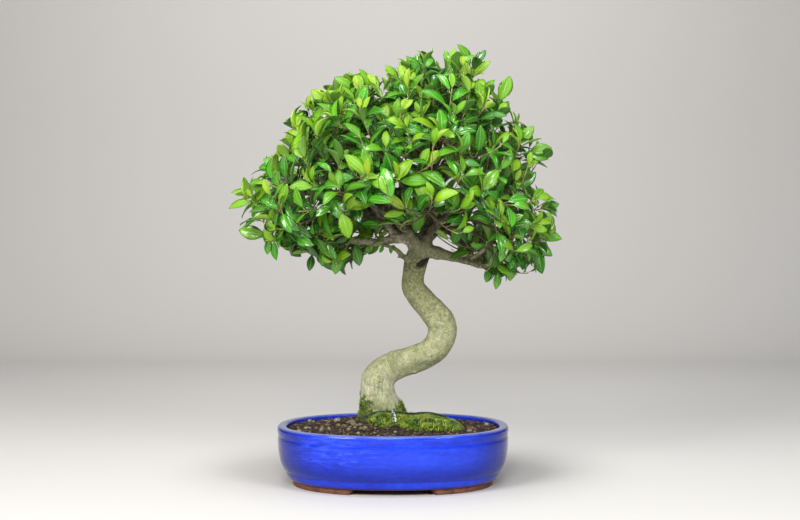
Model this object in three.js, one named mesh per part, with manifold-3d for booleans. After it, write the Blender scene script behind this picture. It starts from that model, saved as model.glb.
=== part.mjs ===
// A ficus bonsai in a glazed oval pot: the pot, its drain screens, the soil, the trunk with its branches,
// the leafy sprays that the branches carry, the moss mound and the tie wire.
// Millimetres, +Z up. The crown is laid out round the pot's centre, and the finished group is shifted so that
// its origin lies under the middle of the whole object, on the surface that the pot stands on.
import * as THREE from "three";
import { mergeVertices } from "three/addons/utils/BufferGeometryUtils.js";
import Module from "manifold-3d";

const wasm = await Module();
wasm.setup();

const TAU = 2 * Math.PI;
const GOLDEN_ANGLE = 2.399963;
const GAP = 0.3; // between two pieces that touch
const UP = new THREE.Vector3(0, 0, 1);
const point = (x, y, z) => new THREE.Vector3(x, y, z);

// ---- driving dimensions ----

// The pot: an oval that is 310 by 250 outside and 77.5 high.
const POT_HALF_WIDTH = 155;
const POT_HALF_DEPTH = 125;
const POT_SQUARENESS = 2.25; // 2 is a true ellipse
const POT_SIDES = 32;
const FOOT_HEIGHT = 7.5;
const FLOOR_TOP = 17;
const RIM_TOP = 77.5;
const FOOT_OUTER_INSET = 19.5;
const FOOT_INNER_INSET = 44;
const FOOT_GAP_FRONT = 52; // half the gap between the two front feet
const FOOT_GAP_END = 21; // half the gap between the two feet at each end
const FOOT_TAPER = 0.95; // size of a foot's lower face as a share of its upper face
const FOOT_STEPS = 5;
const FOOT_SUNK = 1; // how far a foot reaches into the pot's base
const DRAIN_RADIUS = 10;
const DRAIN_OFFSET = 62;
const DRAIN_SIDES = 12;

// The wall's outer line, from its foot to the rim: height, and inset from the oval's greatest size.
const POT_OUTSIDE = [
  [FOOT_HEIGHT, 17],
  [10, 14.5],
  [15.5, 11.2],
  [18, 11.3],
  [22, 7.8],
  [31, 3.8],
  [46, 1],
  [63, 0.6],
  [66, 1.4],
  [69, 0],
  [75, 0.3],
  [RIM_TOP, 2.4],
];
// The inner line, from the rim down to the floor.
const POT_INSIDE = [
  [RIM_TOP, 10.5],
  [75, 13],
  [68, 12],
  [32, 17],
  [FLOOR_TOP, 28],
];

// The drain screens: a square plastic grid over each drain hole.
const SCREEN_SIZE = 34;
const SCREEN_THICKNESS = 1.4;
const SCREEN_HOLES = 2;
const SCREEN_BAR = 5;

// The soil, mounded towards the trunk.
const SOIL_GAP = 0.6; // to the pot's wall
const SOIL_EDGE = 70;
const SOIL_MOUND = { x: -6, y: 2, halfWidth: 84, halfDepth: 62, height: 18 };
const SOIL_CRUMBS = [0.9, 0.5]; // heights of the two waves that crumple its surface
const SOIL_RINGS = [1, 0.8, 0.58, 0.36, 0.15];
const PEBBLES = 14;
const PEBBLE_RADII = [2.6, 5.2];
const PEBBLE_SHAPE = [1.3, 1, 0.8];
const PEBBLE_EDGE = 20; // clear of the pot's wall
const PEBBLE_SHARES = [0.3, 0.9]; // of the way from the pot's middle to that edge
const PEBBLE_SHOWN = 0.15; // height of a stone's middle above the soil, as a share of its size
const PEBBLE_TRUNK_ROOM = 52; // clear of the trunk's middle
const PEBBLE_MOSS_ROOM = 8;

// The trunk's line: x, y, z and radius, from the root stub in the soil to the top of the leader.
const TRUNK_LINE = [
  [-14, 6, 48, 24],
  [-14.5, 6, 78, 30],
  [-15, 5.5, 90, 31],
  [-17, 5, 101, 27],
  [-20.5, 4, 118, 23.2],
  [-19.5, 3, 136.5, 22.9],
  [-8, 2, 150, 20.5],
  [9, 0, 159, 19.3],
  [28, -2, 165, 18.6],
  [46, -3, 173, 18.2],
  [60, -3, 186, 18.8],
  [65.5, -2, 202, 19.6],
  [62.5, -1, 217, 19.4],
  [50, 2, 233, 17.6],
  [36.5, 3, 248, 16.6],
  [27.5, 3, 262, 15.4],
  [27.6, 2, 277, 14.3],
  [30, 1, 291, 15.4],
  [34.5, 0, 304, 16],
  [41, 0, 318, 12],
  [45, 1, 334, 9.6],
  [47, 3, 360, 8.4],
  [51, 4, 392, 7],
  [58, 2, 432, 5.4],
  [67, -2, 474, 3.9],
  [74, -3, 510, 2.6],
];
const TRUNK_SIDES = 12;
const TRUNK_RIBS = [[3, 0.035, 0.35], [5, 0.025, -0.6]]; // ribs round the trunk, their height and their twist

// The roots that show at the trunk's foot: direction in degrees, length and radius. Each starts inside the
// trunk's foot and dips into the soil.
const ROOT_CENTRE = [-15, 5.5];
const ROOT_START = [12, 96]; // reach from the centre, and height
const ROOT_BEND = [24, 92];
const ROOT_END_HEIGHT = 74;
const ROOT_END_RADIUS = 2.5;
const ROOT_SIDES = 6;
const ROOT_STEPS = 3;
const ROOTS = [
  [10, 26, 8],
  [75, 24, 7],
  [150, 27, 8],
  [215, 23, 7],
  [285, 25, 8],
  [335, 22, 6],
];

// The main branches: x, y, z and radius along each, from inside the trunk outwards.
const BRANCHES = {
  left: [
    [32, 0, 310, 8.5], [19, -2, 325, 7], [2, -4, 327, 6.2], [-19, -6, 322, 5.5], [-58, -8, 325, 4.2],
    [-84, -4, 334, 3.4], [-112, 2, 348, 2.6],
  ],
  left_low: [[26, -4, 294, 5], [14, -8, 303, 4], [2, -11, 313, 3.2], [-14, -15, 318, 2.4]],
  left_rise: [[8, -3, 327, 5], [-4, -1, 340, 4.5], [-18, 2, 357, 3.8], [-40, 6, 384, 2.8]],
  right: [
    [36, 0, 308, 10.5], [56, -3, 309, 9.4], [75, -6, 303, 8.2], [90, -9, 299, 7], [99, -11, 299, 4.4],
    [112, -15, 304, 3.6], [129, -24, 321, 2.8],
  ],
  right_droop: [[90, -9, 298, 4.4], [103, -17, 294, 3.4], [118, -27, 289.5, 3], [138, -42, 297, 2.5]],
  upper_left: [
    [42, 1, 316, 7.5], [22, 0, 338, 6.6], [4, 2, 362, 5.6], [-22, 4, 396, 4.4], [-48, 6, 430, 3.2],
    [-64, 6, 456, 2.4],
  ],
  upper_right: [
    [44, 0, 322, 5], [60, -2, 335, 4], [82, -4, 352, 3.5], [108, -4, 378, 3], [130, -2, 408, 2.5],
  ],
  front_left: [
    [38, 0, 312, 7.5], [26, -26, 326, 6.2], [8, -56, 346, 4.8], [-18, -88, 366, 3.4], [-36, -106, 384, 2.4],
  ],
  front_right: [
    [44, 0, 328, 7], [56, -30, 342, 5.8], [72, -64, 356, 4.4], [88, -92, 374, 3.2], [98, -106, 392, 2.4],
  ],
  back_left: [
    [38, 2, 314, 7.5], [20, 28, 330, 6], [-6, 58, 350, 4.6], [-34, 86, 370, 3.2], [-52, 102, 386, 2.4],
  ],
  back_right: [
    [44, 2, 330, 7], [58, 32, 340, 5.8], [76, 62, 356, 4.4], [94, 88, 372, 3], [104, 104, 388, 2.4],
  ],
  top_front: [[47, 3, 366, 6], [46, -18, 392, 4.8], [42, -44, 424, 3.8], [34, -66, 456, 2.6]],
  top_back: [[49, 4, 378, 5.8], [54, 26, 404, 4.8], [60, 50, 434, 3.6], [62, 70, 462, 2.6]],
};
const BRANCH_SIDES = 5;
const BRANCH_STEPS = 6;
const LEADER_POINTS = 6; // how many of the trunk's last points carry fine branches
const BRANCH_SHARE = 0.8; // a fine branch's radius as a share of the branch that it forks from
const HEART_PULL = 0.75; // how strongly fine branches grow from near the crown's heart
const FINE_BRANCH_RADIUS = 3.4; // at most, where it forks
const FINE_BRANCH_BEND = 0.45; // share of its length that it runs in line with its spray

// The crown: its middle, and its outline seen from the front as angle in degrees and reach in millimetres.
const CROWN_CENTRE = point(12, 0, 385);
const CROWN_HALF_DEPTH = 186;
const CROWN_OUTLINE = [
  [-177, 224], [-166, 214], [-155, 190], [-147, 142], [-132, 136], [-120, 108], [-110, 74], [-90, 58],
  [-60, 60], [-52, 76], [-42, 174], [-30, 206], [-22, 216], [-4, 208], [6, 176], [18, 204], [27, 190],
  [40, 186], [54, 194], [63, 214], [78, 196], [90, 180], [99, 152], [109, 172], [120, 178], [134, 180],
  [148, 184], [159, 174], [172, 208], [183, 224],
];

// The sprays: leafy stems that spread from the ends of the fine branches to the crown's outline.
const SPIRAL_SPRAYS = 28; // in a spiral down the crown, as evenly as seeds in a head
const LOWEST_SPRAY = -0.3; // height of the spiral's lowest direction on a unit sphere
// The sprays of the two lobes that hang lower at the sides: angle from the front in degrees, and how far
// each heads to the back, on a unit sphere.
const LOBE_SPRAYS = [[-158, -0.3], [-136, 0.05], [-148, 0.5], [-36, 0.14], [-24, -0.42], [-30, 0.42]];
const SPRAYS = SPIRAL_SPRAYS + LOBE_SPRAYS.length;
const SPRAY_GAP = 0.8; // between a spray and the branch that carries it
const SPRAY_ROOT_SHARE = 0.56; // how far from the heart of the crown to its outline a spray starts
const CROWN_HEART = point(36, 0, 352);
const TIP_INSET = 14;
const SHOOTS = 3;
const SHOOT_SPREADS = [0.16, 0.25]; // of the side shoots' directions from the stem's
const SHOOT_LENGTHS = [0.94, 1.02]; // from the crown's centre, as shares of its reach
const SHOOT_FORKS = [0.3, 0.5]; // where the side shoots leave the stem, as shares of it
const SHOOT_BEND = 0.55; // how far along a shoot it sags most
const SIDE_SHOOT_DIP = 0.6; // as a share of the stem's
const SHOOT_DIPS = [13, 2, 24, -12, 36]; // how far a shoot sags: the first of these that isn't blocked
const STEM_RADIUS = 1.7;
const SHOOT_RADIUS = 1.2;
const TIP_RADIUS = 0.8;

// The leaves: where each stands, in millimetres back from its shoot's tip, and how it is shaped.
const LEAF_STATIONS = [4, 16, 29];
const LEAF_LENGTH = 35;
const LEAF_WIDTH_SHARE = 0.5;
const LEAF_THICKNESS = 1.1;
const LEAF_FOLD = 0.32;
const LEAF_ARCH = 0.16;
const LEAF_LIFT = 0.12; // how much each leaf turns up from its place round the shoot
const LEAF_TILTS = [0.35, 0.85, 1.1]; // away from the shoot at each station, in radians
const LEAF_TILT_RANGE = 0.5;
const LEAF_TURN_RANGE = 0.8; // round the shoot, wider with each try
const LEAF_SIZES = [0.82, 1.08];
const TIP_LEAF_SIZE = 0.85;
const LEAF_FACES = { outward: 0.7, up: 0.8, random: 0.7 }; // what turns a leaf's upper side
// A leaf's edge from its base round its tip: along its length, and across as shares of its width.
const LEAF_EDGE = [[0, 0], [0.34, -0.46], [0.7, -0.42], [1, 0], [0.7, 0.42], [0.34, 0.46]];
const LEAF_ROOT_OFFSET = 0.33; // from the middle of the shoot, still inside it
const LEAF_TRIES = 7;
const LEAF_ROOM = 1.2; // kept free above and below a leaf
const LEAF_ROOM_LENGTH = 1.03; // length of that room as a share of the leaf's

// The moss mound: x, y, and half sizes of the lumps that it is made of.
const MOSS_SUNK = 0.35; // share of a lump's height that lies below the soil
const MOSS_SIDES = 10;
const MOSS_LEVELS = 6;
const MOSS_PILLOWS = 0.05; // how far its pillows swell, as a share of a lump's size
const MOSS_LUMPS = [
  [41, -21, 53, 38, 15],
  [-4, -28, 31, 20, 14],
];

// The tie wire's line, from the soil at the trunk's left front, round its foot and over the moss.
const WIRE_RADIUS = 0.9;
const WIRE_LINE = [
  [-41, -31, 66], [-40.5, -30.5, 78], [-37.5, -29, 88], [-30, -28, 94], [-20, -31, 97.5], [-10, -33, 98.5],
  [0, -32, 98], [12, -26, 95.5], [24, -18, 93.5], [37, -12, 94], [50, -9, 93.5], [62, -7, 90.5],
  [72, -4, 86.5], [81, 0, 80.5], [87, 3, 73], [90, 5, 64],
];
const WIRE_KNOT = [[0, -32, 98], [3, -38, 96.5], [4, -41, 90.5]];
const WIRE_KNOT_RADII = [1.7, 1.1];
const WIRE_SIDES = 5;
const WIRE_STEPS = 22;

// ---- common helpers ----

// A number from 0 to 1 that depends only on its four keys, so that every run draws the same.
function chance(a, b, c, d) {
  const spun = Math.sin(a * 127.1 + b * 311.7 + c * 74.7 + d * 53.3) * 43758.5453;
  return spun - Math.floor(spun);
}

const between = (low, high, share) => low + (high - low) * share;

function closedGeometry(points, index) {
  const geometry = new THREE.BufferGeometry().setFromPoints(points);
  geometry.setIndex(index);
  return geometry;
}

// A closed geometry as a solid that can be joined and cut.
function solidOf(geometry) {
  const bare = new THREE.BufferGeometry();
  bare.setAttribute("position", geometry.getAttribute("position"));
  bare.setIndex(geometry.getIndex());
  const merged = mergeVertices(bare, 1e-4);
  const vertProperties = merged.getAttribute("position").array;
  const triVerts = new Uint32Array(merged.getIndex().array);
  return new wasm.Manifold(new wasm.Mesh({ numProp: 3, vertProperties, triVerts }));
}

function geometryOf(solid) {
  const mesh = solid.getMesh();
  const geometry = new THREE.BufferGeometry();
  geometry.setAttribute("position", new THREE.BufferAttribute(mesh.vertProperties, 3));
  geometry.setIndex(new THREE.BufferAttribute(mesh.triVerts, 1));
  geometry.computeVertexNormals();
  return geometry;
}

const joined = (solids) => solids.reduce((whole, next) => whole.add(next));

// A skin over rings of equally many points, closed by a flat cap at each end. Each ring turns anticlockwise
// as seen from the far end.
function loft(rings) {
  const sides = rings[0].length;
  const last = (rings.length - 1) * sides;
  const index = [];
  for (let start = 0; start < last; start += sides) {
    for (let s = 0; s < sides; s++) {
      const a = start + s;
      const b = start + ((s + 1) % sides);
      index.push(a, b, b + sides, a, b + sides, a + sides);
    }
  }
  for (let s = 1; s + 1 < sides; s++) {
    index.push(0, s + 1, s, last, last + s, last + s + 1);
  }
  return closedGeometry(rings.flat(), index);
}

// A round limb through the given points, with a radius at each and an optional swelling of its skin.
function limb(points, radii, sides, swelling = () => 1) {
  const tangents = points.map((p, i) => {
    const before = points[Math.max(i - 1, 0)];
    const after = points[Math.min(i + 1, points.length - 1)];
    return after.clone().sub(before).normalize();
  });
  const reference = Math.abs(tangents[0].x) < 0.9 ? point(1, 0, 0) : point(0, 1, 0);
  const normal = reference.clone().cross(tangents[0]).normalize();
  const rings = points.map((p, i) => {
    normal.addScaledVector(tangents[i], -normal.dot(tangents[i])).normalize();
    const binormal = tangents[i].clone().cross(normal);
    return Array.from({ length: sides }, (_, s) => {
      const angle = (s / sides) * TAU;
      const radius = radii[i] * swelling(angle, i);
      return p.clone()
        .addScaledVector(normal, Math.cos(angle) * radius)
        .addScaledVector(binormal, Math.sin(angle) * radius);
    });
  });
  return loft(rings);
}

const smoothCurve = (rows) =>
  new THREE.CatmullRomCurve3(rows.map(([x, y, z]) => point(x, y, z)), false, "catmullrom", 0.5);

// Points and radii along a smooth line through rows of x, y, z and radius.
function smoothLine(rows, steps) {
  const curve = smoothCurve(rows);
  const points = [];
  const radii = [];
  for (let i = 0; i <= steps; i++) {
    const share = i / steps;
    const place = share * (rows.length - 1);
    const row = Math.min(Math.floor(place), rows.length - 2);
    points.push(curve.getPoint(share));
    radii.push(between(rows[row][3], rows[row + 1][3], place - row));
  }
  return { points, radii };
}

// A quadratic arc from start to end, pulled towards a control point.
function arc(start, control, end, steps) {
  return new THREE.QuadraticBezierCurve3(start, control, end).getPoints(steps);
}

// ---- the pot and what it holds ----

// One level of the pot's oval, at an inset from its greatest size.
function oval(inset, height, sides) {
  const halfWidth = POT_HALF_WIDTH - inset;
  const halfDepth = POT_HALF_DEPTH - inset;
  return Array.from({ length: sides }, (_, s) => ovalPoint(halfWidth, halfDepth, (s / sides) * TAU, height));
}

function ovalPoint(halfWidth, halfDepth, angle, height) {
  const bend = (value) => Math.sign(value) * Math.abs(value) ** (2 / POT_SQUARENESS);
  return point(halfWidth * bend(Math.cos(angle)), halfDepth * bend(Math.sin(angle)), height);
}

// One of the four feet, an arc of the oval's edge, tapered a little towards the ground.
function foot(signX, signY) {
  const outerX = POT_HALF_WIDTH - FOOT_OUTER_INSET;
  const outerY = POT_HALF_DEPTH - FOOT_OUTER_INSET;
  const share = (ratio) => Math.abs(ratio) ** (POT_SQUARENESS / 2);
  const from = Math.asin(share(FOOT_GAP_END / outerY));
  const to = Math.acos(share(FOOT_GAP_FRONT / outerX));
  const sides = [FOOT_OUTER_INSET, FOOT_INNER_INSET].map((inset) =>
    Array.from({ length: FOOT_STEPS + 1 }, (_, i) => {
      const angle = between(from, to, i / FOOT_STEPS);
      return ovalPoint(POT_HALF_WIDTH - inset, POT_HALF_DEPTH - inset, angle, 0);
    }),
  );
  const plan = [...sides[0], ...sides[1].reverse()].map((p) => new THREE.Vector2(p.x * signX, p.y * signY));
  const depth = FOOT_HEIGHT + FOOT_SUNK;
  const geometry = new THREE.ExtrudeGeometry(new THREE.Shape(plan), { depth, bevelEnabled: false });
  const middle = new THREE.Box2().setFromPoints(plan).getCenter(new THREE.Vector2());
  const corners = geometry.getAttribute("position");
  for (let i = 0; i < corners.count; i++) {
    if (corners.getZ(i) > 0) continue;
    corners.setX(i, between(middle.x, corners.getX(i), FOOT_TAPER));
    corners.setY(i, between(middle.y, corners.getY(i), FOOT_TAPER));
  }
  return solidOf(geometry);
}

function potSolid() {
  const outside = POT_OUTSIDE.map(([height, inset]) => oval(inset, height, POT_SIDES));
  const inside = POT_INSIDE.map(([height, inset]) => oval(inset, height, POT_SIDES));
  const shell = solidOf(loft([...outside, ...inside]));
  const feet = [[1, 1], [-1, 1], [-1, -1], [1, -1]].map(([x, y]) => foot(x, y));
  const drains = [-1, 1].map((side) => {
    const hole = new THREE.CylinderGeometry(DRAIN_RADIUS, DRAIN_RADIUS, 2 * FLOOR_TOP, DRAIN_SIDES);
    return solidOf(hole.rotateX(Math.PI / 2).translate(side * DRAIN_OFFSET, 0, FLOOR_TOP));
  });
  return joined([shell, ...feet]).subtract(joined(drains));
}

// A drain screen, with square holes through it.
function screenSolid(side) {
  const base = FLOOR_TOP + GAP;
  const block = (x, y, size, height) =>
    solidOf(new THREE.BoxGeometry(size, size, height).translate(x, y, base + SCREEN_THICKNESS / 2));
  const hole = (SCREEN_SIZE - SCREEN_BAR * (SCREEN_HOLES + 1)) / SCREEN_HOLES;
  const spot = (i) => (i - (SCREEN_HOLES - 1) / 2) * (hole + SCREEN_BAR);
  const spots = Array.from({ length: SCREEN_HOLES }, (_, i) => spot(i));
  const through = 3 * SCREEN_THICKNESS;
  const holes = spots.flatMap((x) => spots.map((y) => block(x + side * DRAIN_OFFSET, y, hole, through)));
  return block(side * DRAIN_OFFSET, 0, SCREEN_SIZE, SCREEN_THICKNESS).subtract(joined(holes));
}

// The pocket that a screen takes out of the soil above it.
function screenPocket(side) {
  const size = SCREEN_SIZE + 2 * GAP;
  const height = 2 * (SCREEN_THICKNESS + 2 * GAP);
  return solidOf(new THREE.BoxGeometry(size, size, height).translate(side * DRAIN_OFFSET, 0, FLOOR_TOP));
}

// The height of the soil's surface: a mound round the trunk, with a coarse crumb.
function soilHeight(x, y) {
  const { x: middleX, y: middleY, halfWidth, halfDepth, height } = SOIL_MOUND;
  const mound = height * Math.exp(-(((x - middleX) / halfWidth) ** 2) - ((y - middleY) / halfDepth) ** 2);
  const [coarse, fine] = SOIL_CRUMBS;
  const crumbs = coarse * Math.sin(x * 0.21 + 1.3) * Math.cos(y * 0.26) + fine * Math.sin(x * 0.5 + y * 0.43);
  return SOIL_EDGE + mound + crumbs;
}

// The soil up to its surface, which may be raised to leave a gap under what lies on it.
function soilBody(raised) {
  const [, lip, , waist, base] = POT_INSIDE;
  const below = [base, waist].map(([height, inset]) => oval(inset + SOIL_GAP, height + GAP, POT_SIDES));
  const surface = SOIL_RINGS.map((share) =>
    oval(lip[1] + SOIL_GAP, 0, POT_SIDES).map((p) => {
      const x = p.x * share;
      const y = p.y * share;
      return point(x, y, soilHeight(x, y) + raised);
    }),
  );
  return solidOf(loft([...below, ...surface]));
}

// The pale stones that lie half sunk in the soil, clear of the trunk and the moss.
function pebbles() {
  const stones = [];
  for (let i = 0; stones.length < PEBBLES; i++) {
    const angle = i * GOLDEN_ANGLE;
    const share = between(...PEBBLE_SHARES, chance(i, 1, 0, 0));
    const edge = ovalPoint(POT_HALF_WIDTH - PEBBLE_EDGE, POT_HALF_DEPTH - PEBBLE_EDGE, angle, 0);
    const x = edge.x * share;
    const y = edge.y * share;
    const nearTrunk = Math.hypot(x - ROOT_CENTRE[0], y - ROOT_CENTRE[1]) < PEBBLE_TRUNK_ROOM;
    const nearMoss = MOSS_LUMPS.some(([mossX, mossY, a, b]) =>
      Math.hypot((x - mossX) / (a + PEBBLE_MOSS_ROOM), (y - mossY) / (b + PEBBLE_MOSS_ROOM)) < 1);
    if (nearTrunk || nearMoss) continue;
    const size = between(...PEBBLE_RADII, chance(i, 2, 0, 0));
    const stone = new THREE.OctahedronGeometry(size);
    const height = soilHeight(x, y) + size * PEBBLE_SHOWN;
    stone.scale(...PEBBLE_SHAPE).rotateZ(angle * 3).translate(x, y, height);
    stones.push(solidOf(stone));
  }
  return stones;
}

// ---- the wood ----

function trunkSolid(grown) {
  const { points, radii } = smoothLine(TRUNK_LINE, TRUNK_LINE.length - 1);
  const ribs = (angle, i) =>
    TRUNK_RIBS.reduce((size, [count, rise, twist]) => size + rise * Math.sin(count * angle + i * twist), 1);
  return solidOf(limb(points, radii.map((r) => r + grown), TRUNK_SIDES, ribs));
}

function rootSolids(grown) {
  return ROOTS.map(([degrees, length, radius]) => {
    const angle = THREE.MathUtils.degToRad(degrees);
    const at = (reach, height) =>
      point(ROOT_CENTRE[0] + Math.cos(angle) * reach, ROOT_CENTRE[1] + Math.sin(angle) * reach, height);
    const bend = at(ROOT_BEND[0] + length * 0.4, ROOT_BEND[1]);
    const line = arc(at(...ROOT_START), bend, at(ROOT_BEND[0] + length, ROOT_END_HEIGHT), ROOT_STEPS);
    const radii = line.map((_, i) => between(radius, ROOT_END_RADIUS, i / (line.length - 1)) + grown);
    return solidOf(limb(line, radii, ROOT_SIDES));
  });
}

const branchLines = Object.values(BRANCHES).map((rows) => smoothLine(rows, BRANCH_STEPS));

// The point of a main branch or the leader that a fine branch to the given place grows from.
function forkFor(place) {
  let best = null;
  const leader = smoothLine(TRUNK_LINE.slice(-LEADER_POINTS), BRANCH_STEPS);
  for (const { points, radii } of [...branchLines, leader]) {
    points.forEach((p, i) => {
      const cost = p.distanceTo(place) + HEART_PULL * p.distanceTo(CROWN_HEART);
      if (i > 1 && (!best || cost < best.cost)) best = { point: p, radius: radii[i], cost };
    });
  }
  return best;
}

// ---- the crown ----

// How far the crown reaches from its centre in a direction.
function crownReach(direction) {
  const angle = THREE.MathUtils.radToDeg(Math.atan2(direction.z, direction.x));
  const turned = angle < CROWN_OUTLINE[0][0] ? angle + 360 : angle;
  const next = CROWN_OUTLINE.findIndex(([knot]) => knot > turned);
  const [[fromAngle, fromReach], [toAngle, toReach]] = [CROWN_OUTLINE[next - 1], CROWN_OUTLINE[next]];
  const share = THREE.MathUtils.smoothstep(turned, fromAngle, toAngle);
  const reach = between(fromReach, toReach, share);
  const frontal = Math.hypot(direction.x, direction.z);
  return 1 / Math.hypot(frontal / reach, direction.y / CROWN_HALF_DEPTH);
}

// Two directions square to the given one and to each other.
function across(direction) {
  const reference = Math.abs(direction.z) < 0.95 ? UP : point(1, 0, 0);
  const first = direction.clone().cross(reference).normalize();
  return [first, direction.clone().cross(first)];
}

function sprayDirection(spray) {
  if (spray >= SPIRAL_SPRAYS) {
    const [degrees, back] = LOBE_SPRAYS[spray - SPIRAL_SPRAYS];
    const angle = THREE.MathUtils.degToRad(degrees);
    const frontal = Math.sqrt(1 - back * back);
    return point(frontal * Math.cos(angle), back, frontal * Math.sin(angle));
  }
  const height = 1 - ((spray + 0.5) / SPIRAL_SPRAYS) * (1 - LOWEST_SPRAY);
  const flat = Math.sqrt(1 - height * height);
  const angle = spray * GOLDEN_ANGLE;
  return point(flat * Math.cos(angle), flat * Math.sin(angle), height);
}

// Where a spray's shoot ends: the first in the spray's own direction, the others round it.
function shootTip(spray, shoot) {
  const direction = sprayDirection(spray);
  if (shoot > 0) {
    const [first, second] = across(direction);
    const angle = shoot * GOLDEN_ANGLE + chance(spray, 0, 0, 1) * TAU;
    const spread = between(...SHOOT_SPREADS, chance(spray, shoot, 0, 2));
    direction.addScaledVector(first, Math.cos(angle) * spread);
    direction.addScaledVector(second, Math.sin(angle) * spread).normalize();
  }
  const reach = crownReach(direction) * between(...SHOOT_LENGTHS, chance(spray, shoot, 0, 3)) - TIP_INSET;
  return direction.multiplyScalar(reach).add(CROWN_CENTRE);
}

// A spray's stem and shoots: each an arc that dips a little and turns up at its tip.
function sprayLines(spray, dip = SHOOT_DIPS[0]) {
  const tips = Array.from({ length: SHOOTS }, (_, shoot) => shootTip(spray, shoot));
  const root = CROWN_HEART.clone().lerp(tips[0], SPRAY_ROOT_SHARE);
  const control = root.clone().lerp(tips[0], SHOOT_BEND).addScaledVector(UP, -dip);
  const heading = control.clone().sub(root).normalize();
  const start = root.clone().addScaledVector(heading, SPRAY_GAP);
  const stem = new THREE.QuadraticBezierCurve3(start, control, tips[0]);
  const shoots = tips.slice(1).map((tip, i) => {
    const from = stem.getPoint(SHOOT_FORKS[i]);
    const pull = from.clone().lerp(tip, SHOOT_BEND).addScaledVector(UP, -dip * SIDE_SHOOT_DIP);
    return arc(from, pull, tip, 2);
  });
  return { root, heading, lines: [stem.getPoints(3), ...shoots] };
}

function sprayStems(lines) {
  return lines.map((line, shoot) => {
    const thick = shoot ? SHOOT_RADIUS : STEM_RADIUS;
    return limb(line, line.map((_, i) => between(thick, TIP_RADIUS, i / (line.length - 1))), 3);
  });
}

// The fine branch that carries a spray, from its fork to the spray's root.
function fineBranch({ root, heading }) {
  const fork = forkFor(root);
  const length = fork.point.distanceTo(root);
  const line = arc(fork.point, root.clone().addScaledVector(heading, -FINE_BRANCH_BEND * length), root, 2);
  const thick = Math.min(fork.radius * BRANCH_SHARE, FINE_BRANCH_RADIUS);
  const radii = line.map((_, i) => between(thick, STEM_RADIUS, i / (line.length - 1)));
  return limb(line, radii, 3);
}

// The point of a line of points that lies a given length back from its end, and the heading there.
function backFromTip(line, length) {
  let left = length;
  for (let i = line.length - 1; i > 0; i--) {
    const step = line[i].distanceTo(line[i - 1]);
    const heading = line[i].clone().sub(line[i - 1]).normalize();
    if (left <= step || i === 1) {
      return { place: line[i].clone().addScaledVector(heading, -Math.min(left, step * 0.9)), heading };
    }
    left -= step;
  }
}

// A leaf blade as a folded, arched lens: sharp at its edge and thickest along its midrib.
function blade({ root, along, face, length }, thickness) {
  const left = face.clone().cross(along);
  const width = length * LEAF_WIDTH_SHARE;
  const place = (u, w, height) =>
    root.clone()
      .addScaledVector(along, u * length)
      .addScaledVector(left, w * width)
      .addScaledVector(face, LEAF_FOLD * Math.abs(w) * width - LEAF_ARCH * u * u * length + height);
  const ribs = [1, -1].map((side) => place(0.5, 0, (side * thickness) / 2));
  const points = [...LEAF_EDGE.map(([u, w]) => place(u, w, 0)), ...ribs];
  const above = LEAF_EDGE.length;
  const index = LEAF_EDGE.flatMap((_, i) => {
    const next = (i + 1) % above;
    return [i, next, above, next, i, above + 1];
  });
  return closedGeometry(points, index);
}

// How a leaf stands on its shoot, for its spray, shoot, station and try.
function leafPose(spray, shoot, station, line, attempt) {
  const { place, heading } = backFromTip(line, LEAF_STATIONS[station]);
  const [first, second] = across(heading);
  const draw = (key) => chance(spray, shoot, station, key + 10 * attempt);
  const turn = (draw(5) - 0.5) * (LEAF_TURN_RANGE + attempt);
  const angle = station * GOLDEN_ANGLE + chance(spray, shoot, 0, 4) * TAU + turn;
  const tilt = LEAF_TILTS[station] + (draw(6) - 0.5) * LEAF_TILT_RANGE;
  const along = heading.clone().multiplyScalar(Math.cos(tilt))
    .addScaledVector(first, Math.cos(angle) * Math.sin(tilt))
    .addScaledVector(second, Math.sin(angle) * Math.sin(tilt))
    .addScaledVector(UP, LEAF_LIFT)
    .normalize();
  const outward = place.clone().sub(CROWN_CENTRE).normalize();
  const face = outward.multiplyScalar(LEAF_FACES.outward).addScaledVector(UP, LEAF_FACES.up)
    .add(point(draw(7) - 0.5, draw(8) - 0.5, draw(9) - 0.5).multiplyScalar(LEAF_FACES.random));
  face.addScaledVector(along, -face.dot(along)).normalize();
  const size = between(...LEAF_SIZES, chance(spray, shoot, station, 11)) * (station ? 1 : TIP_LEAF_SIZE);
  const aside = along.clone().addScaledVector(heading, -along.dot(heading)).normalize();
  const root = place.clone().addScaledVector(aside, LEAF_ROOT_OFFSET);
  return { root, along, face, length: LEAF_LENGTH * size };
}

// ---- keeping leaves and stems out of each other ----

// A geometry's triangles with the box round them, for the tests of what crosses what.
function trace(geometry) {
  const corners = geometry.getAttribute("position");
  const index = geometry.getIndex().array;
  const at = (i) => new THREE.Vector3().fromBufferAttribute(corners, index[i]);
  const triangles = [];
  for (let i = 0; i < index.length; i += 3) triangles.push([at(i), at(i + 1), at(i + 2)]);
  return { geometry, triangles, box: new THREE.Box3().setFromBufferAttribute(corners) };
}

// Whether an edge of one goes through a face of the other.
function pierces(one, other) {
  const ray = new THREE.Ray();
  const hit = new THREE.Vector3();
  return one.triangles.some((corners) =>
    corners.some((from, i) => {
      const to = corners[(i + 1) % 3];
      ray.origin.copy(from);
      ray.direction.copy(to).sub(from).normalize();
      const length = from.distanceTo(to);
      return other.triangles.some(
        ([a, b, c]) => ray.intersectTriangle(a, b, c, false, hit) && hit.distanceTo(from) <= length,
      );
    }),
  );
}

const crosses = (one, other) =>
  one.box.intersectsBox(other.box) && (pierces(one, other) || pierces(other, one));

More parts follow.
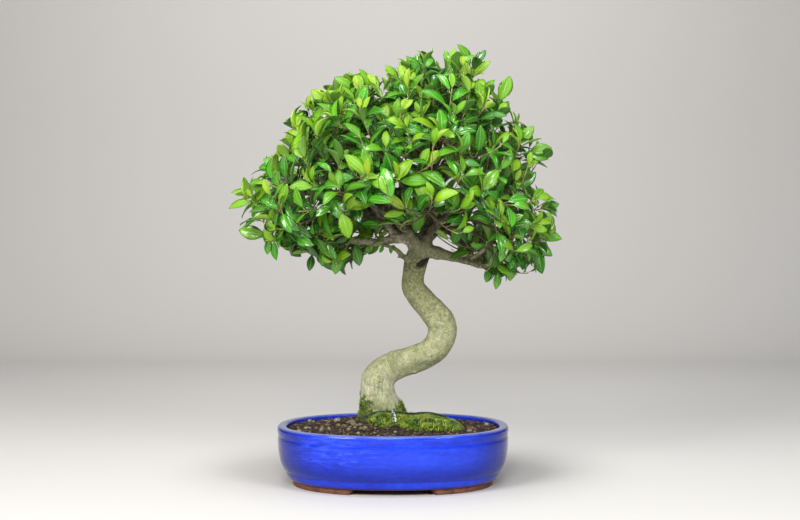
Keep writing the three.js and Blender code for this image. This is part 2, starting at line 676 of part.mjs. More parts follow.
// All sprays, leaf by leaf: stems bend clear of the wood, and a leaf that would cross anything but its own
// shoot is turned, or left out.
function growSprays(wood) {
  const filled = wood.map(trace);
  const blocked = (room, own) => filled.some((other) => other.geometry !== own && crosses(room, other));
  const grown = Array.from({ length: SPRAYS }, (_, spray) => {
    const lines = SHOOT_DIPS.map((dip) => sprayLines(spray, dip).lines)
      .find((tried) => !sprayStems(tried).some((stem) => blocked(trace(stem))));
    return { lines, stems: sprayStems(lines) };
  });
  grown.forEach(({ stems }) => filled.push(...stems.map(trace)));
  return grown.map(({ lines, stems }, spray) => {
    const pieces = [...stems];
    lines.forEach((line, shoot) => {
      LEAF_STATIONS.forEach((_, station) => {
        for (let attempt = 0; attempt < LEAF_TRIES; attempt++) {
          const pose = leafPose(spray, shoot, station, line, attempt);
          const longer = { ...pose, length: pose.length * LEAF_ROOM_LENGTH };
          const room = trace(blade(longer, LEAF_THICKNESS + LEAF_ROOM));
          if (blocked(room, stems[shoot])) continue;
          filled.push(room);
          pieces.push(blade(pose, LEAF_THICKNESS));
          break;
        }
      });
    });
    return joined(pieces.map(solidOf));
  });
}

// ---- the moss and the wire ----

function mossLumps() {
  return MOSS_LUMPS.map(([x, y, halfX, halfY, height]) => {
    const lump = new THREE.SphereGeometry(1, MOSS_SIDES, MOSS_LEVELS);
    lump.rotateX(Math.PI / 2).scale(halfX, halfY, height);
    const corners = lump.getAttribute("position");
    const spot = new THREE.Vector3();
    for (let i = 0; i < corners.count; i++) {
      spot.fromBufferAttribute(corners, i);
      const pillow = 1 + MOSS_PILLOWS * Math.sin(spot.x * 0.23) * Math.cos(spot.y * 0.19 + 0.8);
      corners.setXYZ(i, spot.x * pillow, spot.y * pillow, spot.z * pillow);
    }
    return solidOf(lump.translate(x, y, soilHeight(x, y) - height * MOSS_SUNK));
  });
}

function wireSolid(grown) {
  const curve = smoothCurve(WIRE_LINE);
  const radius = WIRE_RADIUS + grown;
  const section = new THREE.Shape(
    Array.from({ length: WIRE_SIDES }, (_, s) => {
      const angle = (s / WIRE_SIDES) * TAU;
      return new THREE.Vector2(radius * Math.cos(angle), radius * Math.sin(angle));
    }),
  );
  const settings = { steps: WIRE_STEPS, extrudePath: curve, bevelEnabled: false };
  const run = new THREE.ExtrudeGeometry(section, settings);
  const knot = arc(...WIRE_KNOT.map(([x, y, z]) => point(x, y, z)), 3);
  const knotRadii = knot.map((_, i) => between(...WIRE_KNOT_RADII, i / (knot.length - 1)) + grown);
  return joined([solidOf(run), solidOf(limb(knot, knotRadii, WIRE_SIDES))]);
}

// ---- the object ----

const finishes = {
  glaze: new THREE.MeshStandardMaterial({ color: 0x2438d8, roughness: 0.12, metalness: 0 }),
  plastic: new THREE.MeshStandardMaterial({ color: 0x20221f, roughness: 0.6, metalness: 0 }),
  soil: new THREE.MeshStandardMaterial({ color: 0x43342a, roughness: 0.95, metalness: 0 }),
  bark: new THREE.MeshStandardMaterial({ color: 0xa7a97f, roughness: 0.85, metalness: 0 }),
  leaf: new THREE.MeshStandardMaterial({ color: 0x4a9426, roughness: 0.35, metalness: 0 }),
  moss: new THREE.MeshStandardMaterial({ color: 0x6a8a24, roughness: 0.95, metalness: 0 }),
  wire: new THREE.MeshStandardMaterial({ color: 0x1b2a20, roughness: 0.45, metalness: 0.6 }),
};

const bonsai = new THREE.Group();

function addPiece(name, solid, finish) {
  const mesh = new THREE.Mesh(geometryOf(solid), finish);
  mesh.name = name;
  bonsai.add(mesh);
}

const carried = Array.from({ length: SPRAYS }, (_, spray) => fineBranch(sprayLines(spray)));
const mainBranches = branchLines.map(({ points, radii }) => limb(points, radii, BRANCH_SIDES));
const trunk = joined([trunkSolid(0), ...rootSolids(0), ...[...mainBranches, ...carried].map(solidOf)]);
const footOfTrunk = joined([trunkSolid(GAP), ...rootSolids(GAP)]);
const wireRoom = wireSolid(GAP);
const screenPockets = joined([screenPocket(-1), screenPocket(1)]);
const roomInSoil = joined([footOfTrunk, wireRoom]);
const moss = joined(mossLumps()).subtract(soilBody(GAP)).subtract(roomInSoil);
const soil = joined([soilBody(0), ...pebbles()]).subtract(screenPockets).subtract(roomInSoil);

addPiece("pot", potSolid(), finishes.glaze);
addPiece("drain_screen_left", screenSolid(-1), finishes.plastic);
addPiece("drain_screen_right", screenSolid(1), finishes.plastic);
addPiece("soil", soil, finishes.soil);
addPiece("trunk", trunk, finishes.bark);
addPiece("moss", moss, finishes.moss);
addPiece("tie_wire", wireSolid(0), finishes.wire);
growSprays([...mainBranches, ...carried]).forEach((solid, spray) => {
  addPiece(`spray_${String(spray + 1).padStart(2, "0")}`, solid, finishes.leaf);
});

const middle = new THREE.Box3().setFromObject(bonsai).getCenter(new THREE.Vector3());
bonsai.position.set(-middle.x, -middle.y, 0);

export default bonsai;
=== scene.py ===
"""A ficus bonsai in a glazed oval pot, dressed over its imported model. Metres, +Z up.

Places are worked out from the middle of the pot's foot ring, and Skin moves them into the frame.
"""
import math

import bmesh
import bpy
import numpy as np
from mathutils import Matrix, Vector, kdtree, noise


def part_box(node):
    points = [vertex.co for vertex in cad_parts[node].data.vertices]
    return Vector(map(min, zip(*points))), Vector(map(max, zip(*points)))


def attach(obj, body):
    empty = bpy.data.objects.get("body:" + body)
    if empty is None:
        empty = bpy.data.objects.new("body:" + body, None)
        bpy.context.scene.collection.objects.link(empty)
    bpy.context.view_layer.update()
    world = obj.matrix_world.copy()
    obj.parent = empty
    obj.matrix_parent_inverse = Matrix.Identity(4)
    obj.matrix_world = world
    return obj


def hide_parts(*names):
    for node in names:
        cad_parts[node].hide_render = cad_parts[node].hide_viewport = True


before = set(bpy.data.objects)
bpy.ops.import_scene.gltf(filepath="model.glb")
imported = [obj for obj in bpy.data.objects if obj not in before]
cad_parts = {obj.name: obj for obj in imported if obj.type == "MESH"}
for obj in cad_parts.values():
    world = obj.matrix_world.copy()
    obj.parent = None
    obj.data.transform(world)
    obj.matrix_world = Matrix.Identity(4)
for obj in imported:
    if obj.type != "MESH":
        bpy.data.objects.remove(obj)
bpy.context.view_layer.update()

MM = 0.001
TAU = 2 * math.pi
GOLDEN_ANGLE = 2.399963
UP = np.array((0.0, 0.0, 1.0))
rng = np.random.default_rng(11)
noise.seed_set(11)

pot_low, pot_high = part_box("pot")
POT_CENTRE = np.array(((pot_low.x + pot_high.x) / 2, (pot_low.y + pot_high.y) / 2, 0.0))

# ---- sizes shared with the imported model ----

POT_HALF_WIDTH = (pot_high.x - pot_low.x) / 2
POT_HALF_DEPTH = (pot_high.y - pot_low.y) / 2
RIM_TOP = pot_high.z
POT_SQUARENESS = 2.25
FOOT_HEIGHT = 7.5 * MM
FLOOR_TOP = 17 * MM
FOOT_OUTER_INSET = 19.5 * MM
FOOT_GAP_FRONT, FOOT_GAP_END = 52 * MM, 21 * MM
DRAIN_RADIUS, DRAIN_OFFSET = 10 * MM, 62 * MM

SOIL_GAP = 0.6 * MM
SOIL_EDGE = 70 * MM
SOIL_MOUND = 18 * MM

# Points of the trunk's middle, and its radius there.
TRUNK_LINE = np.array([
    [-14, 6, 48, 24], [-14.5, 6, 78, 30], [-15, 5.5, 90, 31], [-17, 5, 101, 27], [-20.5, 4, 118, 23.2],
    [-19.5, 3, 136.5, 22.9], [-8, 2, 150, 20.5], [9, 0, 159, 19.3], [28, -2, 165, 18.6],
    [46, -3, 173, 18.2], [60, -3, 186, 18.8], [65.5, -2, 202, 19.6], [62.5, -1, 217, 19.4],
    [50, 2, 233, 17.6], [36.5, 3, 248, 16.6], [27.5, 3, 262, 15.4], [27.6, 2, 277, 14.3],
    [30, 1, 291, 15.4], [34.5, 0, 304, 16], [41, 0, 318, 12], [45, 1, 334, 9.6], [47, 3, 360, 8.4],
    [51, 4, 392, 7], [58, 2, 432, 5.4], [67, -2, 474, 3.9], [74, -3, 510, 2.6],
]) * MM
# Direction in degrees, length and radius of the roots that show.
ROOTS = [(10, 26, 8), (75, 24, 7), (150, 27, 8), (215, 23, 7), (285, 25, 8), (335, 22, 6)]
BRANCHES = {name: np.array(rows) * MM for name, rows in {
    "left": [[32, 0, 310, 8.5], [19, -2, 325, 7], [2, -4, 327, 6.2], [-19, -6, 322, 5.5], [-58, -8, 325, 4.2],
             [-84, -4, 334, 3.4], [-112, 2, 348, 2.6]],
    "left_low": [[26, -4, 294, 5], [14, -8, 303, 4], [2, -11, 313, 3.2], [-14, -15, 318, 2.4]],
    "left_rise": [[8, -3, 327, 5], [-4, -1, 340, 4.5], [-18, 2, 357, 3.8], [-40, 6, 384, 2.8]],
    "right": [[36, 0, 308, 10.5], [56, -3, 309, 9], [75, -6, 303, 6.7], [90, -9, 299, 4.8],
              [99, -11, 299, 3.9], [112, -15, 304, 3.4], [129, -24, 321, 2.8]],
    "right_droop": [[90, -9, 298, 4.4], [103, -17, 294, 3.4], [118, -27, 289.5, 3], [138, -42, 297, 2.5]],
    "upper_left": [[42, 1, 316, 7.5], [22, 0, 338, 6.6], [4, 2, 362, 5.6], [-22, 4, 396, 4.4],
                   [-48, 6, 430, 3.2], [-64, 6, 456, 2.4]],
    "upper_right": [[44, 0, 322, 5], [60, -2, 335, 4], [82, -4, 352, 3.5], [108, -4, 378, 3],
                    [130, -2, 408, 2.5]],
    "front_left": [[38, 0, 312, 7.5], [26, -26, 326, 6.2], [8, -56, 346, 4.8], [-18, -88, 366, 3.4],
                   [-36, -106, 384, 2.4]],
    "front_right": [[44, 0, 328, 7], [56, -30, 342, 5.8], [72, -64, 356, 4.4], [88, -92, 374, 3.2],
                    [98, -106, 392, 2.4]],
    "back_left": [[38, 2, 314, 7.5], [20, 28, 330, 6], [-6, 58, 350, 4.6], [-34, 86, 370, 3.2],
                  [-52, 102, 386, 2.4]],
    "back_right": [[44, 2, 330, 7], [58, 32, 340, 5.8], [76, 62, 356, 4.4], [94, 88, 372, 3],
                   [104, 104, 388, 2.4]],
    "top_front": [[47, 3, 366, 6], [46, -18, 392, 4.8], [42, -44, 424, 3.8], [34, -66, 456, 2.6]],
    "top_back": [[49, 4, 378, 5.8], [54, 26, 404, 4.8], [60, 50, 434, 3.6], [62, 70, 462, 2.6]],
}.items()}

CROWN_CENTRE = np.array((12, 0, 385)) * MM
CROWN_HALF_DEPTH = 186 * MM
CROWN_HEART = np.array((36, 0, 352)) * MM
# The crown's outline from the front: angle in degrees, and reach in millimetres.
CROWN_OUTLINE = np.array([
    (-177, 224), (-166, 214), (-155, 190), (-147, 142), (-132, 136), (-120, 108), (-110, 74), (-90, 58),
    (-60, 60), (-52, 76), (-42, 174), (-30, 206), (-22, 216), (-4, 208), (6, 176), (18, 204), (27, 190),
    (40, 186), (54, 194), (63, 214), (78, 196), (90, 180), (99, 152), (109, 172), (120, 178), (134, 180),
    (148, 184), (159, 174), (172, 208), (183, 224),
], dtype=float)
SPIRAL_SPRAYS = 28
LOWEST_SPRAY = -0.3
# The sprays of the two lobes that hang lower: angle from the front in degrees, and how far each heads back.
LOBE_SPRAYS = [(-158, -0.3), (-136, 0.05), (-148, 0.5), (-36, 0.14), (-24, -0.42), (-30, 0.42)]
SPRAYS = SPIRAL_SPRAYS + len(LOBE_SPRAYS)
SPRAY_GAP = 0.8 * MM
SPRAY_ROOT_SHARE = 0.56
TIP_INSET = 14 * MM
SHOOT_SPREADS = (0.16, 0.25)
SHOOT_DIP = 13 * MM
SHOOT_FORKS = (0.3, 0.5)
STEM_RADIUS, SHOOT_RADIUS, TIP_RADIUS = 1.7 * MM, 1.1 * MM, 0.55 * MM

# Each lump's x and y, its half width and half depth, and its height.
MOSS_LUMPS = np.array([[41, -21, 53, 38, 15], [-4, -28, 31, 20, 14]]) * MM
WIRE_RADIUS = 0.9 * MM
WIRE_LINE = np.array([
    (-41, -31, 66), (-40.5, -30.5, 78), (-37.5, -29, 88), (-30, -28, 94), (-20, -31, 97.5), (-10, -33, 98.5),
    (0, -32, 98), (12, -26, 95.5), (24, -18, 93.5), (37, -12, 94), (50, -9, 93.5), (62, -7, 90.5),
    (72, -4, 86.5), (81, 0, 80.5), (87, 3, 73), (90, 5, 64),
]) * MM

# ---- meshes ----


def chance(a, b, c, d):
    """A number from 0 to 1 that depends only on its four keys."""
    spun = math.sin(a * 127.1 + b * 311.7 + c * 74.7 + d * 53.3) * 43758.5453
    return spun - math.floor(spun)


def between(low, high, share):
    return low + (high - low) * share


def unit(vectors):
    length = np.linalg.norm(vectors, axis=-1, keepdims=True)
    return vectors / np.maximum(length, 1e-12)


def ripples(points, size):
    """A smooth random number at each point, in waves of about the given size in metres."""
    return np.array([noise.noise(Vector(p) / size) for p in points])


def lumps(points, size, roughness=0.8, layers=3):
    """A rougher random number at each point, of several layers."""
    return np.array([noise.fractal(Vector(p) / size, roughness, 2.0, layers) for p in points])


def read(things, key, width, kind=float):
    """One property of a mesh's vertices, edges or triangles, in a row for each."""
    values = np.zeros(len(things) * width, kind)
    things.foreach_get(key, values)
    return values.reshape(-1, width)


def number_vertices(mesh, name, values):
    """Gives each vertex a number that the finishes read by name."""
    mesh.attributes.new(name, "FLOAT", "POINT").data.foreach_set("value", values)


def repeated(faces, count, each):
    """The faces of one copy, for so many copies with so many vertices each."""
    faces = np.array(faces)
    shift = (np.arange(count) * each)[:, None, None]
    return (faces[None] + shift).reshape(-1, faces.shape[1])


class Skin:
    """Vertices, faces and numbers at each vertex, gathered for one mesh.

    Faces that are given flat places get a cell of their own on the baking map.
    """

    def __init__(self):
        self.parts, self.blocks, self.numbers = [], [], {}
        self.count = self.cells = 0

    def hold(self, verts, **numbers):
        """Takes in vertices, with a number or one number each by name. Gives the first one's index."""
        verts = np.asarray(verts, float).reshape(-1, 3)
        start = self.count
        self.parts.append(verts)
        self.count += len(verts)
        for name, values in numbers.items():
            self.numbers.setdefault(name, []).append((start, np.broadcast_to(values, len(verts))))
        return start

    def cover(self, start, faces, material=0, flat=None, copies=1):
        """Adds faces over held vertices, as arrays of faces with as many sides, for a number of copies."""
        for corners in faces:
            corners = np.asarray(corners, int)
            if len(corners):
                places = np.zeros((*corners.shape, 2)) if flat is None else flat[corners]
                cells = np.repeat(np.arange(copies), len(corners) // copies) + self.cells
                self.blocks.append((corners + start, material, cells, places))
        if flat is not None:
            self.cells += copies

    def add(self, verts, faces, material=0, flat=None, **numbers):
        self.cover(self.hold(verts, **numbers), faces, material, flat)

    def mesh(self, name):
        made = bpy.data.meshes.new(name)
        sizes = np.concatenate([np.full(len(b[0]), b[0].shape[1]) for b in self.blocks])
        corners = np.concatenate([b[0].ravel() for b in self.blocks])
        made.vertices.add(self.count)
        made.vertices.foreach_set("co", (np.vstack(self.parts) + POT_CENTRE).ravel())
        made.loops.add(len(corners))
        made.loops.foreach_set("vertex_index", corners)
        made.polygons.add(len(sizes))
        made.polygons.foreach_set("loop_start", np.concatenate([[0], np.cumsum(sizes)[:-1]]))
        kinds = np.concatenate([np.full(len(b[0]), b[1]) for b in self.blocks])
        made.polygons.foreach_set("material_index", kinds)
        made.update(calc_edges=True)
        if self.cells:
            self.lay_out(made)
        for label, held in self.numbers.items():
            values = np.zeros(self.count)
            for start, part in held:
                values[start:start + len(part)] = part
            number_vertices(made, label, values)
        return made

    def lay_out(self, made, margin=0.06):
        """The baking map: a square of equal cells, with the flat places of each leaf side in its own."""
        rows = math.ceil(math.sqrt(self.cells))
        spots = []
        for corners, _, cells, places in self.blocks:
            cell = np.repeat(cells, corners.shape[1])
            spot = np.stack([cell % rows, cell // rows], 1)
            spots.append((spot + margin + (1 - 2 * margin) * places.reshape(-1, 2)) / rows)
        made.uv_layers.new(name="OFBake").uv.foreach_set("vector", np.concatenate(spots).ravel())


def placed(name, data):
    """A new object in the scene."""
    made = bpy.data.objects.new(name, data)
    bpy.context.scene.collection.objects.link(made)
    return made


def make_piece(name, mesh, materials, slot, *nodes, smooth=True):
    """An object that rides on the plant's one body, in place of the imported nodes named."""
    piece = placed(name, mesh)
    for material in materials:
        mesh.materials.append(material)
    if smooth:
        mesh.shade_smooth()
    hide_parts(*nodes)
    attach(piece, "root")


def evaluated(mesh, *modifiers):
    """A mesh after the given modifiers, each a kind and its settings."""
    holder = placed("holder", mesh)
    for kind, settings in modifiers:
        modifier = holder.modifiers.new(kind, kind)
        for key, value in settings.items():
            setattr(modifier, key, value)
    made = bpy.data.meshes.new_from_object(holder.evaluated_get(bpy.context.evaluated_depsgraph_get()))
    bpy.data.objects.remove(holder)
    return made


def smooth_line(rows, steps):
    """Points and radii along a smooth curve through rows of x, y, z and radius."""
    ends = np.vstack([2 * rows[0] - rows[1], rows, 2 * rows[-1] - rows[-2]])
    place = np.linspace(0, len(rows) - 1, steps + 1)
    row = np.minimum(place.astype(int), len(rows) - 2)
    t = (place - row)[:, None]
    before, start, end, after = (ends[row + i] for i in range(4))
    rise, fall = (end - before) / 2, (after - start) / 2
    curve = start + rise * t + (3 * (end - start) - 2 * rise - fall) * t**2
    curve = curve + (2 * (start - end) + rise + fall) * t**3
    radii = between(rows[row, 3], rows[row + 1, 3], t[:, 0]) if rows.shape[1] > 3 else None
    return curve[:, :3], radii


def arc(start, control, end, steps):
    t = np.linspace(0, 1, steps + 1)[:, None]
    return (1 - t) ** 2 * start + 2 * t * (1 - t) * control + t**2 * end


def ring_skin(rings, ends=None):
    """A closed skin over rings of equally many points, with a fan at each end: vertices and faces."""
    count, sides = len(rings), len(rings[0])
    ends = ends or (rings[0].mean(0), rings[-1].mean(0))
    i, s = np.meshgrid(np.arange(count - 1), np.arange(sides), indexing="ij")
    a, b = i * sides + s, i * sides + (s + 1) % sides
    quads = np.stack([a, b, b + sides, a + sides], -1).reshape(-1, 4)
    s, last = np.arange(sides), (count - 1) * sides
    start = np.stack([np.full(sides, count * sides), (s + 1) % sides, s], 1)
    end = np.stack([np.full(sides, count * sides + 1), last + s, last + (s + 1) % sides], 1)
    return np.vstack([*rings, *ends]), [quads, np.vstack([start, end])]


def limb(points, radii, sides, swell=None):
    """A round limb along points, closed at both ends: vertices, faces, and a flat place for each vertex."""
    tangents = unit(np.gradient(points, axis=0))
    normal = np.cross((1.0, 0, 0) if abs(tangents[0][0]) < 0.9 else (0, 1.0, 0), tangents[0])
    angles = np.arange(sides) / sides * TAU
    rings = []
    for i, (point, tangent) in enumerate(zip(points, tangents)):
        normal = unit(normal - tangent * normal.dot(tangent))
        ring = np.cos(angles)[:, None] * normal + np.sin(angles)[:, None] * np.cross(tangent, normal)
        radius = radii[i] * (swell(angles, i) if swell else np.ones(sides))
        rings.append(point + radius[:, None] * ring)
    verts, faces = ring_skin(rings, (points[0], points[-1]))
    around, along = np.arange(sides) / sides, np.linspace(0.05, 0.95, len(points))
    flat = np.stack(np.meshgrid(around, along, indexing="xy"), -1).reshape(-1, 2)
    return verts, faces, np.vstack([flat, [[0.5, 0.0], [0.5, 1.0]]])


def turned(directions):
    """A random right-handed frame round each direction: two more unit vectors square to it."""
    first = unit(np.cross(directions, rng.normal(size=directions.shape)))
    return first, np.cross(directions, first)


def three_round(directions):
    """Three unit vectors, a third of a turn apart, round each direction."""
    first, second = turned(directions)
    angles = np.arange(3) / 3 * TAU
    return np.cos(angles)[:, None] * first[:, None] + np.sin(angles)[:, None] * second[:, None]


# ---- finishes ----


class Paint:
    """A socket in a material's nodes. Arithmetic on it adds Math nodes."""

    def __init__(self, tree, socket=None):
        self.tree = tree
        self.socket = socket

    def node(self, kind, settings=None, inputs=None, output=0):
        made = self.tree.nodes.new("ShaderNode" + kind)
        for key, value in (settings or {}).items():
            if key == "stops":
                self.set_stops(made.color_ramp, value)
            else:
                setattr(made, key, value)
        for key, value in (inputs or {}).items():
            if isinstance(value, Paint):
                self.tree.links.new(value.socket, made.inputs[key])
            else:
                made.inputs[key].default_value = value
        return Paint(self.tree, made.outputs[output])

    @staticmethod
    def set_stops(ramp, stops):
        while len(ramp.elements) < len(stops):
            ramp.elements.new(1.0)
        for element, (position, colour) in zip(ramp.elements, stops):
            element.position = position
            element.color = (*colour, 1.0)

    def maths(self, operation, *values):
        return self.node("Math", {"operation": operation}, dict(enumerate(values)))

    def __add__(self, other):
        return self.maths("ADD", self, other)

    __radd__ = __add__

    def __sub__(self, other):
        return self.maths("SUBTRACT", self, other)

    def __rsub__(self, other):
        return self.maths("SUBTRACT", other, self)

    def __mul__(self, other):
        return self.maths("MULTIPLY", self, other)

    __rmul__ = __mul__

    def __abs__(self):
        return self.maths("ABSOLUTE", self)

    def step(self, low, high):
        """0 below low and 1 above high, smoothly; the other way round if low is the larger."""
        limits = {"Value": self, "From Min": low, "From Max": high}
        return self.node("MapRange", {"interpolation_type": "SMOOTHSTEP"}, limits)

    def ramp(self, *stops):
        return self.node("ValToRGB", {"stops": stops}, {0: self})

    def mix(self, first, second):
        """first where this is 0 and second where it is 1, both colours."""
        colours = [c if isinstance(c, Paint) else (*c, 1.0) for c in (first, second)]
        return self.node("Mix", {"data_type": "RGBA"}, {0: self, 6: colours[0], 7: colours[1]}, output=2)

    def cloud(self, size, detail=3.0, roughness=0.55, stretch=(1, 1, 1), warp=0.0):
        """Soft random patches of about the given size in metres, scaled along each axis."""
        here = self.node("TexCoord", output="Object")
        here = self.node("VectorMath", {"operation": "MULTIPLY"}, {0: here, 1: stretch})
        looks = {"Vector": here, "Scale": 1 / size, "Detail": detail, "Roughness": roughness}
        return self.node("TexNoise", None, looks | {"Distortion": warp})

    def number(self, name):
        return self.node("Attribute", {"attribute_name": name}, output="Fac")

    def axis(self, name):
        return self.node("SeparateXYZ", None, {0: self.node("TexCoord", output="Object")}, output=name)

    def bump(self, height, depth, strength=1.0, under=None):
        inputs = {"Height": height, "Distance": depth, "Strength": strength}
        if under is not None:
            inputs["Normal"] = under
        return self.node("Bump", None, inputs)


def laid_over(colour, *layers):
    """A colour with others laid over it in turn, each as far as its mask says."""
    for mask, other in layers:
        colour = mask.mix(colour, other)
    return colour


def finish(shade):
    """A material, named for the function that makes its surface."""
    material = bpy.data.materials.new(shade.__name__)
    material.use_nodes = True
    material.node_tree.nodes.clear()
    brush = Paint(material.node_tree)
    output = material.node_tree.nodes.new("ShaderNodeOutputMaterial")
    material.node_tree.links.new(shade(brush).socket, output.inputs["Surface"])
    return material


def surface(brush, colour, roughness, normal=None, **constants):
    """The Principled shader. Constants are set on its own sockets."""
    inputs = {"Base Color": colour if isinstance(colour, Paint) else (*colour, 1.0), "Roughness": roughness}
    if normal is not None:
        inputs["Normal"] = normal
    inputs |= {key.replace("_", " ").title().replace("Ior", "IOR"): value for key, value in constants.items()}
    return brush.node("BsdfPrincipled", None, inputs)


def cobalt_glaze(brush):
    """Deep blue gloss glaze: clouded and veined, with painted shade at both ends and low on the body, a
    painted shadow just above the feet, a painted soft highlight on the belly, and pale over the lip, where
    the glaze is thin and a painted sheen lies.
    """
    height, across, edge = brush.axis("Z"), brush.axis("X"), brush.number("edge")
    streaks = brush.cloud(0.024, detail=7, stretch=(0.45, 0.45, 3.6), warp=0.5)
    mottle = brush.cloud(0.007, detail=6, stretch=(0.7, 0.7, 1.5))
    drifts = brush.cloud(0.05, detail=3)
    blend = streaks * 0.3 + mottle * 0.4 + drifts * 0.3
    left_side = across.step(0.0, -0.05) * across.step(-0.152, -0.125)
    veins = streaks.step(0.47, 0.50) * streaks.step(0.54, 0.51) * left_side * height.step(0.034, 0.044)
    shaded = streaks.step(0.55, 0.60) * left_side
    # A painted soft highlight: a lighter band round the belly, left of the middle.
    middle = height.step(0.022, 0.038) * height.step(0.062, 0.046) * across.step(-0.09, 0.0)
    # Painted shade: both ends of the pot are darkened.
    ends = abs(across + 0.003).step(0.085, 0.156)
    # Painted shade: the body is darker low down, from about 5 cm to 2 cm up.
    low = height.step(0.050, 0.023) * height.step(0.0155, 0.020)
    # Pale over the lip: partly the glaze thinning there, partly a painted sheen.
    thin_lip_and_painted_sheen = height.step(RIM_TOP - 2.4 * MM, RIM_TOP - 0.1 * MM) * brush.cloud(0.02).step(0.1, 0.6)
    bare = height.step(FOOT_HEIGHT + 1.1 * MM, FOOT_HEIGHT + 0.5 * MM)
    colour = laid_over(
        blend.ramp((0.36, (0.006, 0.021, 0.40)), (0.5, (0.009, 0.037, 0.56)), (0.64, (0.015, 0.058, 0.72))),
        (veins * 0.55, (0.045, 0.095, 0.92)),
        (shaded * 0.4, (0.004, 0.014, 0.32)),
        (middle * 0.35, (0.020, 0.058, 0.62)),
        (ends * 0.85, (0.002, 0.007, 0.13)),
        (low * 0.62, (0.002, 0.008, 0.17)),
        (edge.step(0.1, 0.9) * 0.2, (0.06, 0.10, 0.60)),
        (edge.step(-0.05, -0.6) * 0.2, (0.005, 0.012, 0.28)),
        (thin_lip_and_painted_sheen * 0.6, (0.17, 0.21, 0.46)),
        # A painted shadow: near black just above the bare foot ring, under the pot.
        (height.step(0.011, 0.0086) * 0.85, (0.004, 0.006, 0.07)),
        (bare, (0.15, 0.055, 0.030)))
    waves = brush.bump(streaks, 0.9 * MM, 0.6)
    pits = brush.bump(brush.cloud(0.0016, detail=2), 0.05 * MM, 0.25, waves)
    return surface(brush, colour, bare * 0.7 + 0.10, pits, specular_ior_level=0.33)


def bare_clay(brush):
    """Unglazed terracotta, darkened by handling and water."""
    patches = brush.cloud(0.01, detail=5)
    colour = patches.ramp(
        (0.3, (0.07, 0.026, 0.016)), (0.55, (0.165, 0.060, 0.034)), (0.8, (0.28, 0.12, 0.070)))
    return surface(brush, colour, 0.86, brush.bump(brush.cloud(0.0009, detail=3), 0.25 * MM, 0.6))


